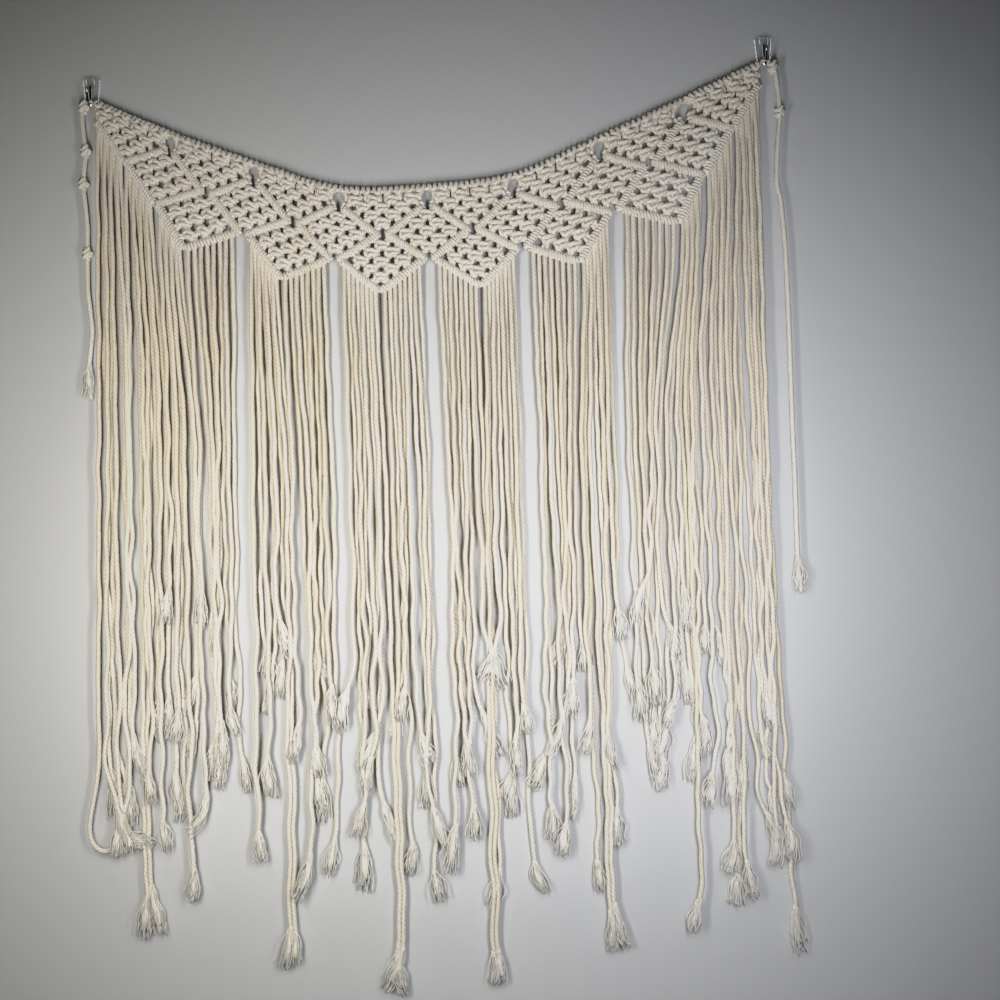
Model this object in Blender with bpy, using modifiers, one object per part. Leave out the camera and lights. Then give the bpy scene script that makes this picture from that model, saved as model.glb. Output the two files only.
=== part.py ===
"""Macrame wall hanging on two small clear wall hooks.

A knotted cotton panel hangs from a mounting cord, and its working cords run on as a long fringe in
six groups. The mounting cord lies in the crook of a wire hook at each corner and ends in a free tail.

The tables are in millimetres and the scene is in metres, +Z up. The front faces -Y and the wall is
the plane y = 0. The origin is the centre of the left hook's back face.
"""

import math
from typing import NamedTuple

import bmesh
import bpy
from mathutils import Vector

# ---------------------------------------------------------------- driving dimensions, in millimetres

MM = 0.001
GAP = 0.4                   # between pieces that touch
WELD = 1e-6                 # metres

CORD_WIDTH = 4.2            # twisted cotton cord
CLOTH_Y = -8.6              # middle plane of the cloth, in front of the wall
PANEL_THICKNESS = 8.5       # every knot is two cords deep
STRAND_THICKNESS = 4.2
CORD_DROP = 2.3             # middle of the mounting cord below the top edge
CORD_GAP = 0.7              # below the mounting cord, where it slopes and bends
PANEL_TOP_DROP = CORD_DROP + CORD_WIDTH / 2 + CORD_GAP


class Place(NamedTuple):
    """A place on the wall: sideways and up from the left hook."""

    x: float
    z: float


# Where each section of the panel begins or ends along its top edge.
TOP_EDGE = (
    Place(x=5, z=-15),
    Place(x=82, z=-50),
    Place(x=166, z=-83),
    Place(x=251, z=-111),
    Place(x=340, z=-112),
    Place(x=427, z=-103),
    Place(x=515, z=-67),
    Place(x=602, z=-30),
    Place(x=681, z=6),
)
SECTIONS = len(TOP_EDGE) - 1
SECTION_WIDTH = 86.0        # along the top edge, for sizes given across a section
TOP_EDGE_STEPS = 8          # points of the top edge in each section

# The panel splays as it hangs: a section line moves sideways with the square of its drop.
TIP_DROP = 105.0
SPLAY = 13.0                # per section away from the upright one, at the tips
UPRIGHT_SECTION = 3.85
STRETCH = 0.012             # more drop for each section to the right of the middle

CORNER_DROP = 22.0          # where the first strand leaves each end of the panel
UPPER_VERTEX_DROP = 50.0    # outer vertex half a section in
LOWER_VERTEX_DROP = 77.0    # side vertices of the lowest diamonds
NOTCH_DROP = 69.5           # top of the notch between two of them
VERTEX_INSET = 0.05         # of a section, from a section line
STEPS_PER_SIDE = 3

# Slits below the mounting cord, one on each section line between the ends.
SLIT_WIDTHS = (9.0, 9.0, 10.0, 8.5, 9.0, 9.5, 18.0)
SLIT_SHOULDER_DROP = 19.0
SLIT_BOTTOM_DROP = 24.5
SLIT_BOTTOM_SHARE = 0.45    # of the width, at the bottom
SLIT_MARGIN = 0.03          # of a section, kept free of other points beside a slit

# Holes where four diamonds meet, half a section from each section line.
CROSSING_DROP = 46.0
CROSSING_WIDTH = 6.0
CROSSING_HEIGHT = 12.0
CROSSING_SIDE = 6.5         # height of its upright sides


class Fringe(NamedTuple):
    """One group of strands, under the panel from one section line to another."""

    first_section: float
    last_section: float
    first_x: float          # of the first strand's middle
    last_x: float
    ends: tuple             # how far below the origin each strand ends, from left to right


FRINGES = (
    Fringe(0.0, 2 - VERTEX_INSET, 8.5, 141.0,
           (763, 735, 758, 742, 769, 750, 772, 742, 700, 851, 849, 690, 720, 663, 768, 655,
            549, 728, 662, 740, 816, 679, 552, 640, 756, 700, 710, 583, 690, 632, 657, 715)),
    Fringe(2 + VERTEX_INSET, 3 - VERTEX_INSET, 163.0, 238.0,
           (779, 604, 720, 640, 584, 624, 884, 880, 686, 609, 819, 734, 700, 746, 652, 796)),
    Fringe(3 + VERTEX_INSET, 4 - VERTEX_INSET, 256.5, 334.0,
           (659, 813, 760, 640, 720, 773, 700, 913, 910, 668, 649, 798, 690, 735, 775, 825)),
    Fringe(4 + VERTEX_INSET, 5 - VERTEX_INSET, 353.0, 427.0,
           (798, 715, 703, 650, 765, 690, 622, 905, 900, 832, 613, 747, 705, 730, 663, 818)),
    Fringe(5 + VERTEX_INSET, 6 - VERTEX_INSET, 447.0, 522.0,
           (767, 720, 782, 599, 690, 749, 650, 604, 687, 819, 876, 872, 700, 776, 575, 634)),
    Fringe(6 + VERTEX_INSET, 8.0, 536.5, 678.0,
           (655, 712, 640, 690, 563, 724, 600, 701, 660, 640, 570, 668, 859, 855, 690, 592,
            739, 603, 720, 740, 803, 834, 828, 735, 780, 700, 668, 760, 797, 745, 792, 882)),
)
SPINE_HEIGHT = 5.0          # band along which the strands of a group leave the panel
SPINE_DROP = 0.65           # keeps the gap across the slanting lower edge
STRAND_GAP = 0.7            # between neighbouring strands
TUFT_LENGTH = 34.0          # frayed end of a strand
TUFT_FULLEST = 0.35         # of its length up from the end
TUFT_GAP = 0.4
TUFT_DEPTH = 1.9            # times the depth of the strand
TUFT_MARGIN = 1.0           # within which a corner belongs to a tuft
STRAND_STAGGER = 0.9        # neighbours lie in front of and behind each other

# Wall hooks: a clear plate with a moulded housing, and a wire hook that comes out of it.
LEFT_HOOK = Place(x=0, z=0)
RIGHT_HOOK = Place(x=687, z=23.3)
PLATE_TOP_WIDTH = 17.0
PLATE_BOTTOM_WIDTH = 13.0
PLATE_HEIGHT = 25.0
PLATE_THICKNESS = 4.0
PLATE_CORNER = 3.0
PLATE_CORNER_TURNS = 3
PLATE_EDGE = 0.6
PLATE_EDGE_SEGMENTS = 2
HOUSING_WIDTH = 8.0
HOUSING_DEPTH = 3.0
HOUSING_SINK = 1.0          # how far the housing's block reaches into the plate
HOUSING_BOTTOM = 3.0
HOUSING_TOP = 10.0
WIRE_WIDTH = 1.8
WIRE_LOWEST = -19.0
CROOK_RADIUS = CORD_WIDTH / 2 + GAP + WIRE_WIDTH / 2
WIRE_STEPS = 8              # round the crook
# The front leg above the crook: how far each point leans away from the wall, and its height.
WIRE_FRONT = ((1.8, 6.6), (4.5, 11.0))

CROOK_Z = WIRE_LOWEST + WIRE_WIDTH / 2 + CROOK_RADIUS
# The mounting cord over the wire: how far inwards each point is, and how far above the crook.
CROOK_BEND = ((-3.2, -1.8), (-1.6, -0.3), (0.0, 0.4), (2.0, -0.2), (5.0, -2.2))
CORD_STEPS = 8              # points of the mounting cord in each section

# Free tails of the mounting cord, as x and z of each point of the route, from the hook down.
LEFT_TAIL = (
    (-3.9, -17.2), (-5.5, -19.4), (-6.8, -23.2), (-7.5, -30), (-7.5, -38), (-6.0, -52), (-4.2, -67),
    (-6.3, -88), (-6.8, -99), (-6.0, -112), (-3.2, -142), (-3.0, -172), (-3.2, -190), (-2.6, -212),
    (0.8, -242), (1.0, -256), (-1.8, -284), (-1.2, -300), (0.0, -319),
)
RIGHT_TAIL = (
    (690.7, 6.3), (692.8, 4.0), (695.2, 0.2), (697.0, -5), (699.0, -26), (699.4, -50), (696.2, -80),
    (693.8, -111), (694.6, -125), (697.0, -140), (699.4, -190), (699.6, -265), (698.8, -360),
    (698.9, -410), (698.2, -490), (699.0, -512), (700.0, -530),
)
LEFT_TAIL_KNOTS = (-67, -99, -172)      # height of each knot
RIGHT_TAIL_KNOTS = (-45,)
TAIL_TUFT_LENGTH = 32.0
TAIL_TUFT_SWELL = 2.6       # times the cord
TAIL_TUFT_END = 0.15        # how far round its bulge the tuft is cut off
TAIL_KNOT_SWELL = 1.9
TAIL_KNOT_REACH = 6.0       # from the middle of a knot to plain cord
TAIL_KNOT_ROUNDNESS = 0.6
TAIL_POINTS = 60
SMOOTH_STEPS = 12           # fine points between two of a route's own
TUBE_RESOLUTION = 2

COTTON = (0.80, 0.76, 0.68, 1.0)
CLEAR_PLASTIC = (0.86, 0.88, 0.88, 1.0)
POLISHED_WIRE = (0.55, 0.55, 0.56, 1.0)


# ---------------------------------------------------------------- where things are on the panel

def smooth_value(values, place):
    """Reads a Catmull-Rom curve through equally spaced values."""
    last = len(values) - 1
    first = min(max(int(math.floor(place)), 0), last - 1)
    part = place - first
    before = values[first - 1] if first > 0 else 2 * values[0] - values[1]
    start, stop = values[first], values[first + 1]
    after = values[first + 2] if first + 2 <= last else 2 * values[last] - values[last - 1]
    return 0.5 * (
        2 * start
        + (stop - before) * part
        + (2 * before - 5 * start + 4 * stop - after) * part ** 2
        + (3 * start - before - 3 * stop + after) * part ** 3
    )


def panel_point(section, drop):
    """Where the panel hangs, from a place along its top edge, in sections, and a drop below it."""
    x = smooth_value([point.x for point in TOP_EDGE], section)
    z = smooth_value([point.z for point in TOP_EDGE], section)
    x += SPLAY * (section - UPRIGHT_SECTION) * (drop / TIP_DROP) ** 2
    z -= drop * (1 + STRETCH * (section - SECTIONS / 2))
    return x, z


def lower_edge_corners():
    """The corners of the panel's lower edge, as sections and drops, from left to right."""
    corners = [(0.0, CORNER_DROP), (0.5, UPPER_VERTEX_DROP)]
    diamonds = SECTIONS - 2
    for diamond in range(1, diamonds + 1):
        corners.append((diamond + VERTEX_INSET, LOWER_VERTEX_DROP))
        corners.append((diamond + 0.5, TIP_DROP))
        corners.append((diamond + 1 - VERTEX_INSET, LOWER_VERTEX_DROP))
        if diamond < diamonds:
            corners.append((diamond + 1.0, NOTCH_DROP))
    corners.append((SECTIONS - 0.5, UPPER_VERTEX_DROP))
    corners.append((float(SECTIONS), CORNER_DROP))
    return corners


def between(corners, steps):
    """The corners with points added along each side, so that the sides bend with the panel."""
    points = []
    for (section, drop), (next_section, next_drop) in zip(corners, corners[1:]):
        for step in range(steps):
            part = step / steps
            points.append((section + (next_section - section) * part, drop + (next_drop - drop) * part))
    points.append(corners[-1])
    return points


def height_at(line, x):
    """The height of a line of x, z points at one x."""
    for (x0, z0), (x1, z1) in zip(line, line[1:]):
        if x0 <= x <= x1:
            return z0 + (z1 - z0) * (x - x0) / (x1 - x0)
    return line[0][1] if x < line[0][0] else line[-1][1]


# ---------------------------------------------------------------- modelling helpers

def clear_scene():
    """Removes whatever the scene holds."""
    for item in list(bpy.data.objects):
        bpy.data.objects.remove(item, do_unlink=True)


def new_collection(name):
    """Adds a collection to the scene."""
    collection = bpy.data.collections.new(name)
    bpy.context.scene.collection.children.link(collection)
    return collection


def principled(name, colour, roughness, metallic=0.0, transmission=0.0):
    """Makes a plain Principled material."""
    material = bpy.data.materials.new(name)
    material.use_nodes = True
    shader = material.node_tree.nodes["Principled BSDF"]
    shader.inputs["Base Color"].default_value = colour
    shader.inputs["Roughness"].default_value = roughness
    shader.inputs["Metallic"].default_value = metallic
    shader.inputs["Transmission Weight"].default_value = transmission
    return material


def flat_curve(name, loops, thickness):
    """A filled outline, with holes where the later loops are, stood up so that it faces -Y."""
    curve = bpy.data.curves.new(name, "CURVE")
    curve.dimensions = "2D"
    curve.fill_mode = "BOTH"
    curve.extrude = thickness / 2 * MM
    for loop in loops:
        spline = curve.splines.new("POLY")
        spline.points.add(len(loop) - 1)
        for point, (x, z) in zip(spline.points, loop):
            point.co = (x * MM, z * MM, 0, 1)
        spline.use_cyclic_u = True
    outline = bpy.data.objects.new(name, curve)
    outline.rotation_euler = (math.radians(90), 0, 0)
    return outline


def tube_curve(name, route, width, swells=None):
    """A round cord or wire along x, y, z points, thicker where swells says so."""
    curve = bpy.data.curves.new(name, "CURVE")
    curve.dimensions = "3D"
    curve.bevel_depth = width / 2 * MM
    curve.bevel_resolution = TUBE_RESOLUTION
    curve.use_fill_caps = True
    spline = curve.splines.new("POLY")
    spline.points.add(len(route) - 1)
    for index, (point, place) in enumerate(zip(spline.points, route)):
        point.co = (*[value * MM for value in place], 1)
        point.radius = swells[index] if swells else 1.0
    return bpy.data.objects.new(name, curve)


def to_mesh(item, collection, name):
    """Turns a curve object into a mesh object with its caps and walls welded."""
    collection.objects.link(item)
    bpy.context.view_layer.update()
    evaluated = item.evaluated_get(bpy.context.evaluated_depsgraph_get())
    mesh = bpy.data.meshes.new_from_object(evaluated)
    work = bmesh.new()
    work.from_mesh(mesh)
    bmesh.ops.remove_doubles(work, verts=work.verts, dist=WELD)
    bmesh.ops.recalc_face_normals(work, faces=work.faces)
    work.to_mesh(mesh)
    work.free()
    matrix = item.matrix_world.copy()
    bpy.data.objects.remove(item, do_unlink=True)
    solid = bpy.data.objects.new(name, mesh)
    solid.matrix_world = matrix
    collection.objects.link(solid)
    return solid


def dress(item, material):
    """Gives an object its one material."""
    item.data.materials.clear()
    item.data.materials.append(material)


def spread_points(route, count):
    """Points at equal spacing along a smooth curve through the route's own points."""
    fine = []
    columns = list(zip(*route))
    for index in range((len(route) - 1) * SMOOTH_STEPS + 1):
        fine.append(Vector([smooth_value(column, index / SMOOTH_STEPS) for column in columns]))
    lengths = [0.0]
    for start, stop in zip(fine, fine[1:]):
        lengths.append(lengths[-1] + (stop - start).length)
    points = []
    index = 0
    for place in range(count):
        target = lengths[-1] * place / (count - 1)
        while index < len(fine) - 2 and lengths[index + 1] < target:
            index += 1
        part = (target - lengths[index]) / (lengths[index + 1] - lengths[index])
        points.append(fine[index].lerp(fine[index + 1], min(max(part, 0.0), 1.0)))
    return points


# ---------------------------------------------------------------- the panel

def slit_loop_part(section, width):
    """One slit, from the top edge down and back up, as panel points."""
    reach = width / 2 / SECTION_WIDTH
    bottom_reach = reach * SLIT_BOTTOM_SHARE
    shape = (
        (-reach, PANEL_TOP_DROP), (-reach, SLIT_SHOULDER_DROP), (-bottom_reach, SLIT_BOTTOM_DROP),
        (bottom_reach, SLIT_BOTTOM_DROP), (reach, SLIT_SHOULDER_DROP), (reach, PANEL_TOP_DROP),
    )
    return [panel_point(section + along, drop) for along, drop in shape]


def top_line(slit_widths):
    """The panel's top edge with its slits, from left to right."""
    points = []
    for index in range(SECTIONS * TOP_EDGE_STEPS):
        place = index / TOP_EDGE_STEPS
        line = round(place)
        if 0 < line < SECTIONS:
            width = slit_widths[line - 1]
            if place == line:
                points.extend(slit_loop_part(line, width))
            if abs(place - line) < width / 2 / SECTION_WIDTH + SLIT_MARGIN:
                continue
        points.append(panel_point(place, PANEL_TOP_DROP))
    points.append(panel_point(SECTIONS, PANEL_TOP_DROP))
    return points


def crossing_loop(section):
    """A six-sided hole with upright sides, where four diamonds meet."""
    x, z = panel_point(section, CROSSING_DROP)
    half_width = CROSSING_WIDTH / 2
    half_side = CROSSING_SIDE / 2
    half_height = CROSSING_HEIGHT / 2
    return [
        (x - half_width, z - half_side), (x, z - half_height), (x + half_width, z - half_side),
        (x + half_width, z + half_side), (x, z + half_height), (x - half_width, z + half_side),
    ]


def build_panel(collection, material):
    """The knotted panel: one sheet with a zigzag lower edge, seven slits and six crossing holes."""
    lower = [panel_point(*place) for place in between(lower_edge_corners(), STEPS_PER_SIDE)]
    outline = top_line(SLIT_WIDTHS) + lower[::-1]
    crossings = [crossing_loop(section + 0.5) for section in range(1, SECTIONS - 1)]
    flat = flat_curve("knotted_panel", [outline, *crossings], PANEL_THICKNESS)
    flat.location = (0, CLOTH_Y * MM, 0)
    panel = to_mesh(flat, collection, "knotted_panel")
    dress(panel, material)


# ---------------------------------------------------------------- the fringe

def strand_places(fringe):
    """The middle of each strand of a group, and the spacing between them."""
    pitch = (fringe.last_x - fringe.first_x) / (len(fringe.ends) - 1)
    return [fringe.first_x + pitch * index for index in range(len(fringe.ends))], pitch


def spine_lines(fringe):
    """The upper and lower edge of the band along which a group leaves the panel."""
    inside = [
        corner for corner in lower_edge_corners()
        if fringe.first_section <= corner[0] <= fringe.last_section
    ]
    places = between(inside, STEPS_PER_SIDE)
    upper = [panel_point(section, drop + SPINE_DROP) for section, drop in places]
    lower = [panel_point(section, drop + SPINE_DROP + SPINE_HEIGHT) for section, drop in places]
    return upper, lower


def fringe_outline(fringe):
    """One comb: the spine across the top, then each strand down to its tuft and back."""
    upper, lower = spine_lines(fringe)
    places, pitch = strand_places(fringe)
    half_strand = (pitch - STRAND_GAP) / 2
    half_tuft = (pitch - TUFT_GAP) / 2
    outline = list(upper)
    outline.append(lower[-1])
    for x, end in reversed(list(zip(places, fringe.ends))):
        neck = -end + TUFT_LENGTH
        fullest = -end + TUFT_LENGTH * TUFT_FULLEST
        right = [
            (x + half_strand, height_at(lower, x + half_strand)), (x + half_strand, neck),
            (x + half_tuft, fullest), (x + half_strand, -end),
        ]
        left = [
            (x - half_strand, -end), (x - half_tuft, fullest),
            (x - half_strand, neck), (x - half_strand, height_at(lower, x - half_strand)),
        ]
        outline.extend(right + left)
    outline.append(lower[0])
    return outline


def shape_depth(comb, fringe):
    """Swells each tuft towards the front and back, and sets neighbours in front of each other."""
    places, pitch = strand_places(fringe)
    for vertex in comb.data.vertices:
        x, z = vertex.co.x / MM, vertex.co.y / MM
        index = min(max(round((x - places[0]) / pitch), 0), len(places) - 1)
        above_end = z + fringe.ends[index]
        if above_end > TUFT_LENGTH + TUFT_MARGIN:
            continue
        stagger = STRAND_STAGGER if index % 2 else -STRAND_STAGGER
        fullest = abs(above_end - TUFT_LENGTH * TUFT_FULLEST) < TUFT_MARGIN
        swell = TUFT_DEPTH if fullest else 1.0
        vertex.co.z = vertex.co.z * swell + stagger * MM


def build_fringes(collection, material):
    """The six groups of strands, each a comb along its part of the panel's lower edge."""
    for number, fringe in enumerate(FRINGES, start=1):
        name = f"fringe_{number}"
        flat = flat_curve(name, [fringe_outline(fringe)], STRAND_THICKNESS)
        flat.location = (0, CLOTH_Y * MM, 0)
        comb = to_mesh(flat, collection, name)
        shape_depth(comb, fringe)
        dress(comb, material)


# ---------------------------------------------------------------- mounting cord and its tails

def build_mounting_cord(collection, material):
    """The cord that the panel is knotted on, from one hook's crook to the other's."""
    left = [(LEFT_HOOK.x + inwards, LEFT_HOOK.z + CROOK_Z + rise) for inwards, rise in CROOK_BEND]
    right = [(RIGHT_HOOK.x - inwards, RIGHT_HOOK.z + CROOK_Z + rise) for inwards, rise in CROOK_BEND]
    count = SECTIONS * CORD_STEPS
    middle = [panel_point(index / CORD_STEPS, CORD_DROP) for index in range(1, count)]
    route = [(x, CLOTH_Y, z) for x, z in left + middle + right[::-1]]
    cord = tube_curve("mounting_cord", route, CORD_WIDTH)
    collection.objects.link(cord)
    dress(cord, material)


def tail_swell(z, end_z, knots):
    """How thick a tail is at a height: plain cord, a knot, or its frayed end."""
    for knot in knots:
        if abs(z - knot) < TAIL_KNOT_REACH:
            nearness = 1 - abs(z - knot) / TAIL_KNOT_REACH
            return 1 + (TAIL_KNOT_SWELL - 1) * nearness ** TAIL_KNOT_ROUNDNESS
    up_the_tuft = (z - end_z) / TAIL_TUFT_LENGTH
    if up_the_tuft < 1:
        turn = TAIL_TUFT_END + (1 - TAIL_TUFT_END) * up_the_tuft
        return 1 + (TAIL_TUFT_SWELL - 1) * math.sin(math.pi * turn)
    return 1.0


def build_tail(collection, material, name, route, knots):
    """One free end of the mounting cord, hanging from its hook."""
    points = spread_points([(x, CLOTH_Y, z) for x, z in route], TAIL_POINTS)
    swells = [tail_swell(point.z, route[-1][1], knots) for point in points]
    tail = tube_curve(name, points, CORD_WIDTH, swells)
    collection.objects.link(tail)
    dress(tail, material)


# ---------------------------------------------------------------- wall hooks

def add_hook_empty(collection, name, place):
    """The place of one hook on the wall, which its pieces are parented to."""
    empty = bpy.data.objects.new(name, None)
    empty.location = (place.x * MM, 0, place.z * MM)
    collection.objects.link(empty)
    bpy.context.view_layer.update()
    return empty


def plate_outline():
    """The hook's plate: wider at the top, with round upper corners."""
    half_height = PLATE_HEIGHT / 2
    centre_x = PLATE_TOP_WIDTH / 2 - PLATE_CORNER
    centre_z = half_height - PLATE_CORNER
    right = [(PLATE_BOTTOM_WIDTH / 2, -half_height)]
    for turn in range(PLATE_CORNER_TURNS + 1):
        angle = math.pi / 2 * turn / PLATE_CORNER_TURNS
        right.append((centre_x + PLATE_CORNER * math.cos(angle), centre_z + PLATE_CORNER * math.sin(angle)))
    left = [(-x, z) for x, z in reversed(right)]
    return right + left


def housing_block(cutters, hook):
    """The block that is joined to a plate as its moulded housing."""
    bpy.ops.mesh.primitive_cube_add(
        size=1,
        location=(0, -(PLATE_THICKNESS + (HOUSING_DEPTH - HOUSING_SINK) / 2) * MM,
                  (HOUSING_TOP + HOUSING_BOTTOM) / 2 * MM),
        scale=(HOUSING_WIDTH * MM, (HOUSING_DEPTH + HOUSING_SINK) * MM,
               (HOUSING_TOP - HOUSING_BOTTOM) * MM),
    )
    housing = bpy.context.object
    housing.name = hook.name + "_housing"
    for owner in list(housing.users_collection):
        owner.objects.unlink(housing)
    cutters.objects.link(housing)
    housing.parent = hook
    housing.hide_render = True
    housing.display_type = "WIRE"
    return housing


def build_plate(collection, cutters, material, hook):
    """The clear plate on the wall, with the housing that holds the wire."""
    name = hook.name + "_plate"
    plate = to_mesh(flat_curve(name, [plate_outline()], PLATE_THICKNESS), collection, name)
    plate.location = (0, -PLATE_THICKNESS / 2 * MM, 0)
    plate.parent = hook
    join = plate.modifiers.new("housing", "BOOLEAN")
    join.operation = "UNION"
    join.solver = "EXACT"
    join.object = housing_block(cutters, hook)
    edge = plate.modifiers.new("edge", "BEVEL")
    edge.width = PLATE_EDGE * MM
    edge.segments = PLATE_EDGE_SEGMENTS
    edge.limit_method = "ANGLE"
    dress(plate, material)


def build_wire(collection, material, hook):
    """The wire hook: down from the housing, round the crook and up to a tip that leans outwards."""
    back_y = CLOTH_Y + CROOK_RADIUS
    front_y = CLOTH_Y - CROOK_RADIUS
    route = [(0, back_y, HOUSING_BOTTOM - GAP)]
    for step in range(WIRE_STEPS + 1):
        angle = math.pi * step / WIRE_STEPS
        route.append((0, CLOTH_Y + CROOK_RADIUS * math.cos(angle), CROOK_Z - CROOK_RADIUS * math.sin(angle)))
    for reach, rise in WIRE_FRONT:
        route.append((0, front_y - reach, CROOK_Z + rise))
    wire = tube_curve(hook.name + "_wire", route, WIRE_WIDTH)
    collection.objects.link(wire)
    wire.parent = hook
    dress(wire, material)


# ---------------------------------------------------------------- the whole object

def main():
    """Builds every piece of the wall hanging."""
    clear_scene()
    hanging = new_collection("macrame_wall_hanging")
    cutters = new_collection("cutters")
    cotton = principled("cotton_cord", COTTON, roughness=0.95)
    clear = principled("clear_plastic", CLEAR_PLASTIC, roughness=0.08, transmission=0.9)
    steel = principled("polished_wire", POLISHED_WIRE, roughness=0.18, metallic=1.0)
    for name, place in (("hook_left", LEFT_HOOK), ("hook_right", RIGHT_HOOK)):
        hook = add_hook_empty(hanging, name, place)
        build_plate(hanging, cutters, clear, hook)
        build_wire(hanging, steel, hook)
    build_mounting_cord(hanging, cotton)
    build_tail(hanging, cotton, "tail_left", LEFT_TAIL, LEFT_TAIL_KNOTS)
    build_tail(hanging, cotton, "tail_right", RIGHT_TAIL, RIGHT_TAIL_KNOTS)
    build_panel(hanging, cotton)
    build_fringes(hanging, cotton)


main()
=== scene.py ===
"""Looks of a macrame wall hanging: tied knots, twisted cotton cord, frayed ends and clear wall hooks.

Sizes are in millimetres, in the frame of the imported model: +X to the right, +Y into the wall, +Z up,
with the origin at the left hook's back. Meshes are turned to metres when they are built.
"""

import logging
import math
from dataclasses import dataclass, field
from enum import Enum

import bpy
import numpy as np
from mathutils import Matrix, Vector


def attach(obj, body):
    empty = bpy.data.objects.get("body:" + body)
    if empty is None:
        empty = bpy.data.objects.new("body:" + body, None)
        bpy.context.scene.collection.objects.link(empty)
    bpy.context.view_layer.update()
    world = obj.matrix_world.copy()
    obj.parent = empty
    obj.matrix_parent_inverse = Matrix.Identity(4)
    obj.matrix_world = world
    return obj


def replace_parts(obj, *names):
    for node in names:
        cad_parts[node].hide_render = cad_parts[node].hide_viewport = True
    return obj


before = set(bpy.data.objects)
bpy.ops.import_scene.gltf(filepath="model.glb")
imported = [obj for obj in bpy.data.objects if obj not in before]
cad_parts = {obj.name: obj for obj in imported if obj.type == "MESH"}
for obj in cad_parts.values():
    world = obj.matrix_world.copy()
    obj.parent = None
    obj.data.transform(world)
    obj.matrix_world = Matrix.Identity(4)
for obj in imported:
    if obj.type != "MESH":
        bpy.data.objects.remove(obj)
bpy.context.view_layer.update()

LOG = logging.getLogger("wall_hanging")

MM = 0.001
BODY = "root"
CORD_WIDTH = 4.2
CROWN_RADIUS = 2.42  # over the plies' crowns, so that the grooved cord measures about its width
LAY_SHIFT = 16.0  # a length of cord starts anywhere in its lay, within this
YARN_LAY = 400.0  # loose yarns have hardly any twist left
CLOTH_Y = -8.6  # middle plane of the cloth
LEFT_HOOK = (0.0, 0.0)  # x and z of each hook
RIGHT_HOOK = (687.0, 23.3)
CROOK_Z = -14.7  # of the middle of a hook's crook, from the hook's place
FINE_STEPS = 12  # points that a smooth curve is measured on, between two of its own
NEARLY_ALONG = 0.9  # a cosine: past it a direction can't start a path's cross directions
TINY = 1e-9  # keeps a length of nothing from being divided by
FIRST_COLOUR = 6  # sockets of a mix node that mixes two colours
SECOND_COLOUR = 7
MIXED_COLOUR = 2


class Side(Enum):
    """A way to lean along the wall."""

    LEFT = -1
    RIGHT = 1


# ------------------------------------------------------------------------------------ curves

def smooth_values(values: np.ndarray, places: np.ndarray) -> np.ndarray:
    """Reads a smooth curve that runs through equally spaced values.

    Args:
        values: One row for each value, with any number of columns.
        places: Where to read, counted in values from the first.

    Returns:
        One row for each place.
    """
    rows = np.asarray(values, float)
    if rows.ndim == 1:
        rows = rows[:, None]
    padded = np.vstack([2 * rows[0] - rows[1], rows, 2 * rows[-1] - rows[-2]])
    places = np.asarray(places, float)
    first = np.clip(np.floor(places).astype(int), 0, len(rows) - 2)
    part = (places - first)[:, None]
    before, start, stop, after = (padded[first + step] for step in range(4))
    return 0.5 * (
        2 * start
        + (stop - before) * part
        + (2 * before - 5 * start + 4 * stop - after) * part ** 2
        + (3 * start - before - 3 * stop + after) * part ** 3
    )


def smooth_path(points: np.ndarray, spacing: float) -> np.ndarray:
    """Spreads points equally along a smooth curve.

    Args:
        points: The curve's own points, one row each.
        spacing: The wanted distance between two points.

    Returns:
        The points, from the first to the last of the curve.
    """
    points = np.asarray(points, float)
    last = len(points) - 1
    fine = smooth_values(points, np.linspace(0, last, last * FINE_STEPS + 1))
    steps = np.linalg.norm(np.diff(fine, axis=0), axis=1)
    lengths = np.concatenate([[0.0], np.cumsum(steps)])
    count = max(int(round(lengths[-1] / spacing)), 2) + 1
    wanted = np.linspace(0, lengths[-1], count)
    return np.column_stack([np.interp(wanted, lengths, column) for column in fine.T])


def carried_frames(path: np.ndarray) -> tuple[np.ndarray, np.ndarray]:
    """Carries a pair of cross directions along a path without twisting them.

    Args:
        path: The points, one row each.

    Returns:
        Two arrays of directions, each square to the path.
    """
    tangents = np.gradient(path, axis=0)
    tangents /= np.maximum(np.linalg.norm(tangents, axis=1, keepdims=True), TINY)
    current = np.array([0.0, -1.0, 0.0])
    if abs(tangents[0] @ current) > NEARLY_ALONG:
        current = np.array([1.0, 0.0, 0.0])
    first = np.empty_like(path)
    for index, tangent in enumerate(tangents):
        current = current - tangent * (current @ tangent)
        current = current / math.sqrt(max(float(current @ current), TINY ** 2))
        first[index] = current
    return first, np.cross(tangents, first)


def eased(part: np.ndarray) -> np.ndarray:
    """Clips a share to between 0 and 1 and lets it start and stop gently."""
    part = np.clip(part, 0, 1)
    return part * part * (3 - 2 * part)


def wave(turns: np.ndarray, phase: float) -> np.ndarray:
    """A sine wave, read at a number of turns, with its phase in radians."""
    return np.sin(math.tau * turns + phase)


# ------------------------------------------------------------------------------------ materials

def linear(hex_colour: str) -> tuple[float, float, float, float]:
    """Turns an sRGB colour into linear light.

    Args:
        hex_colour: The colour, as # and six digits.

    Returns:
        Red, green and blue, and an alpha of one.
    """
    channels = [int(hex_colour[place:place + 2], 16) / 255 for place in (1, 3, 5)]
    turned = [c / 12.92 if c <= 0.04045 else ((c + 0.055) / 1.055) ** 2.4 for c in channels]
    return (*turned, 1.0)


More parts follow.
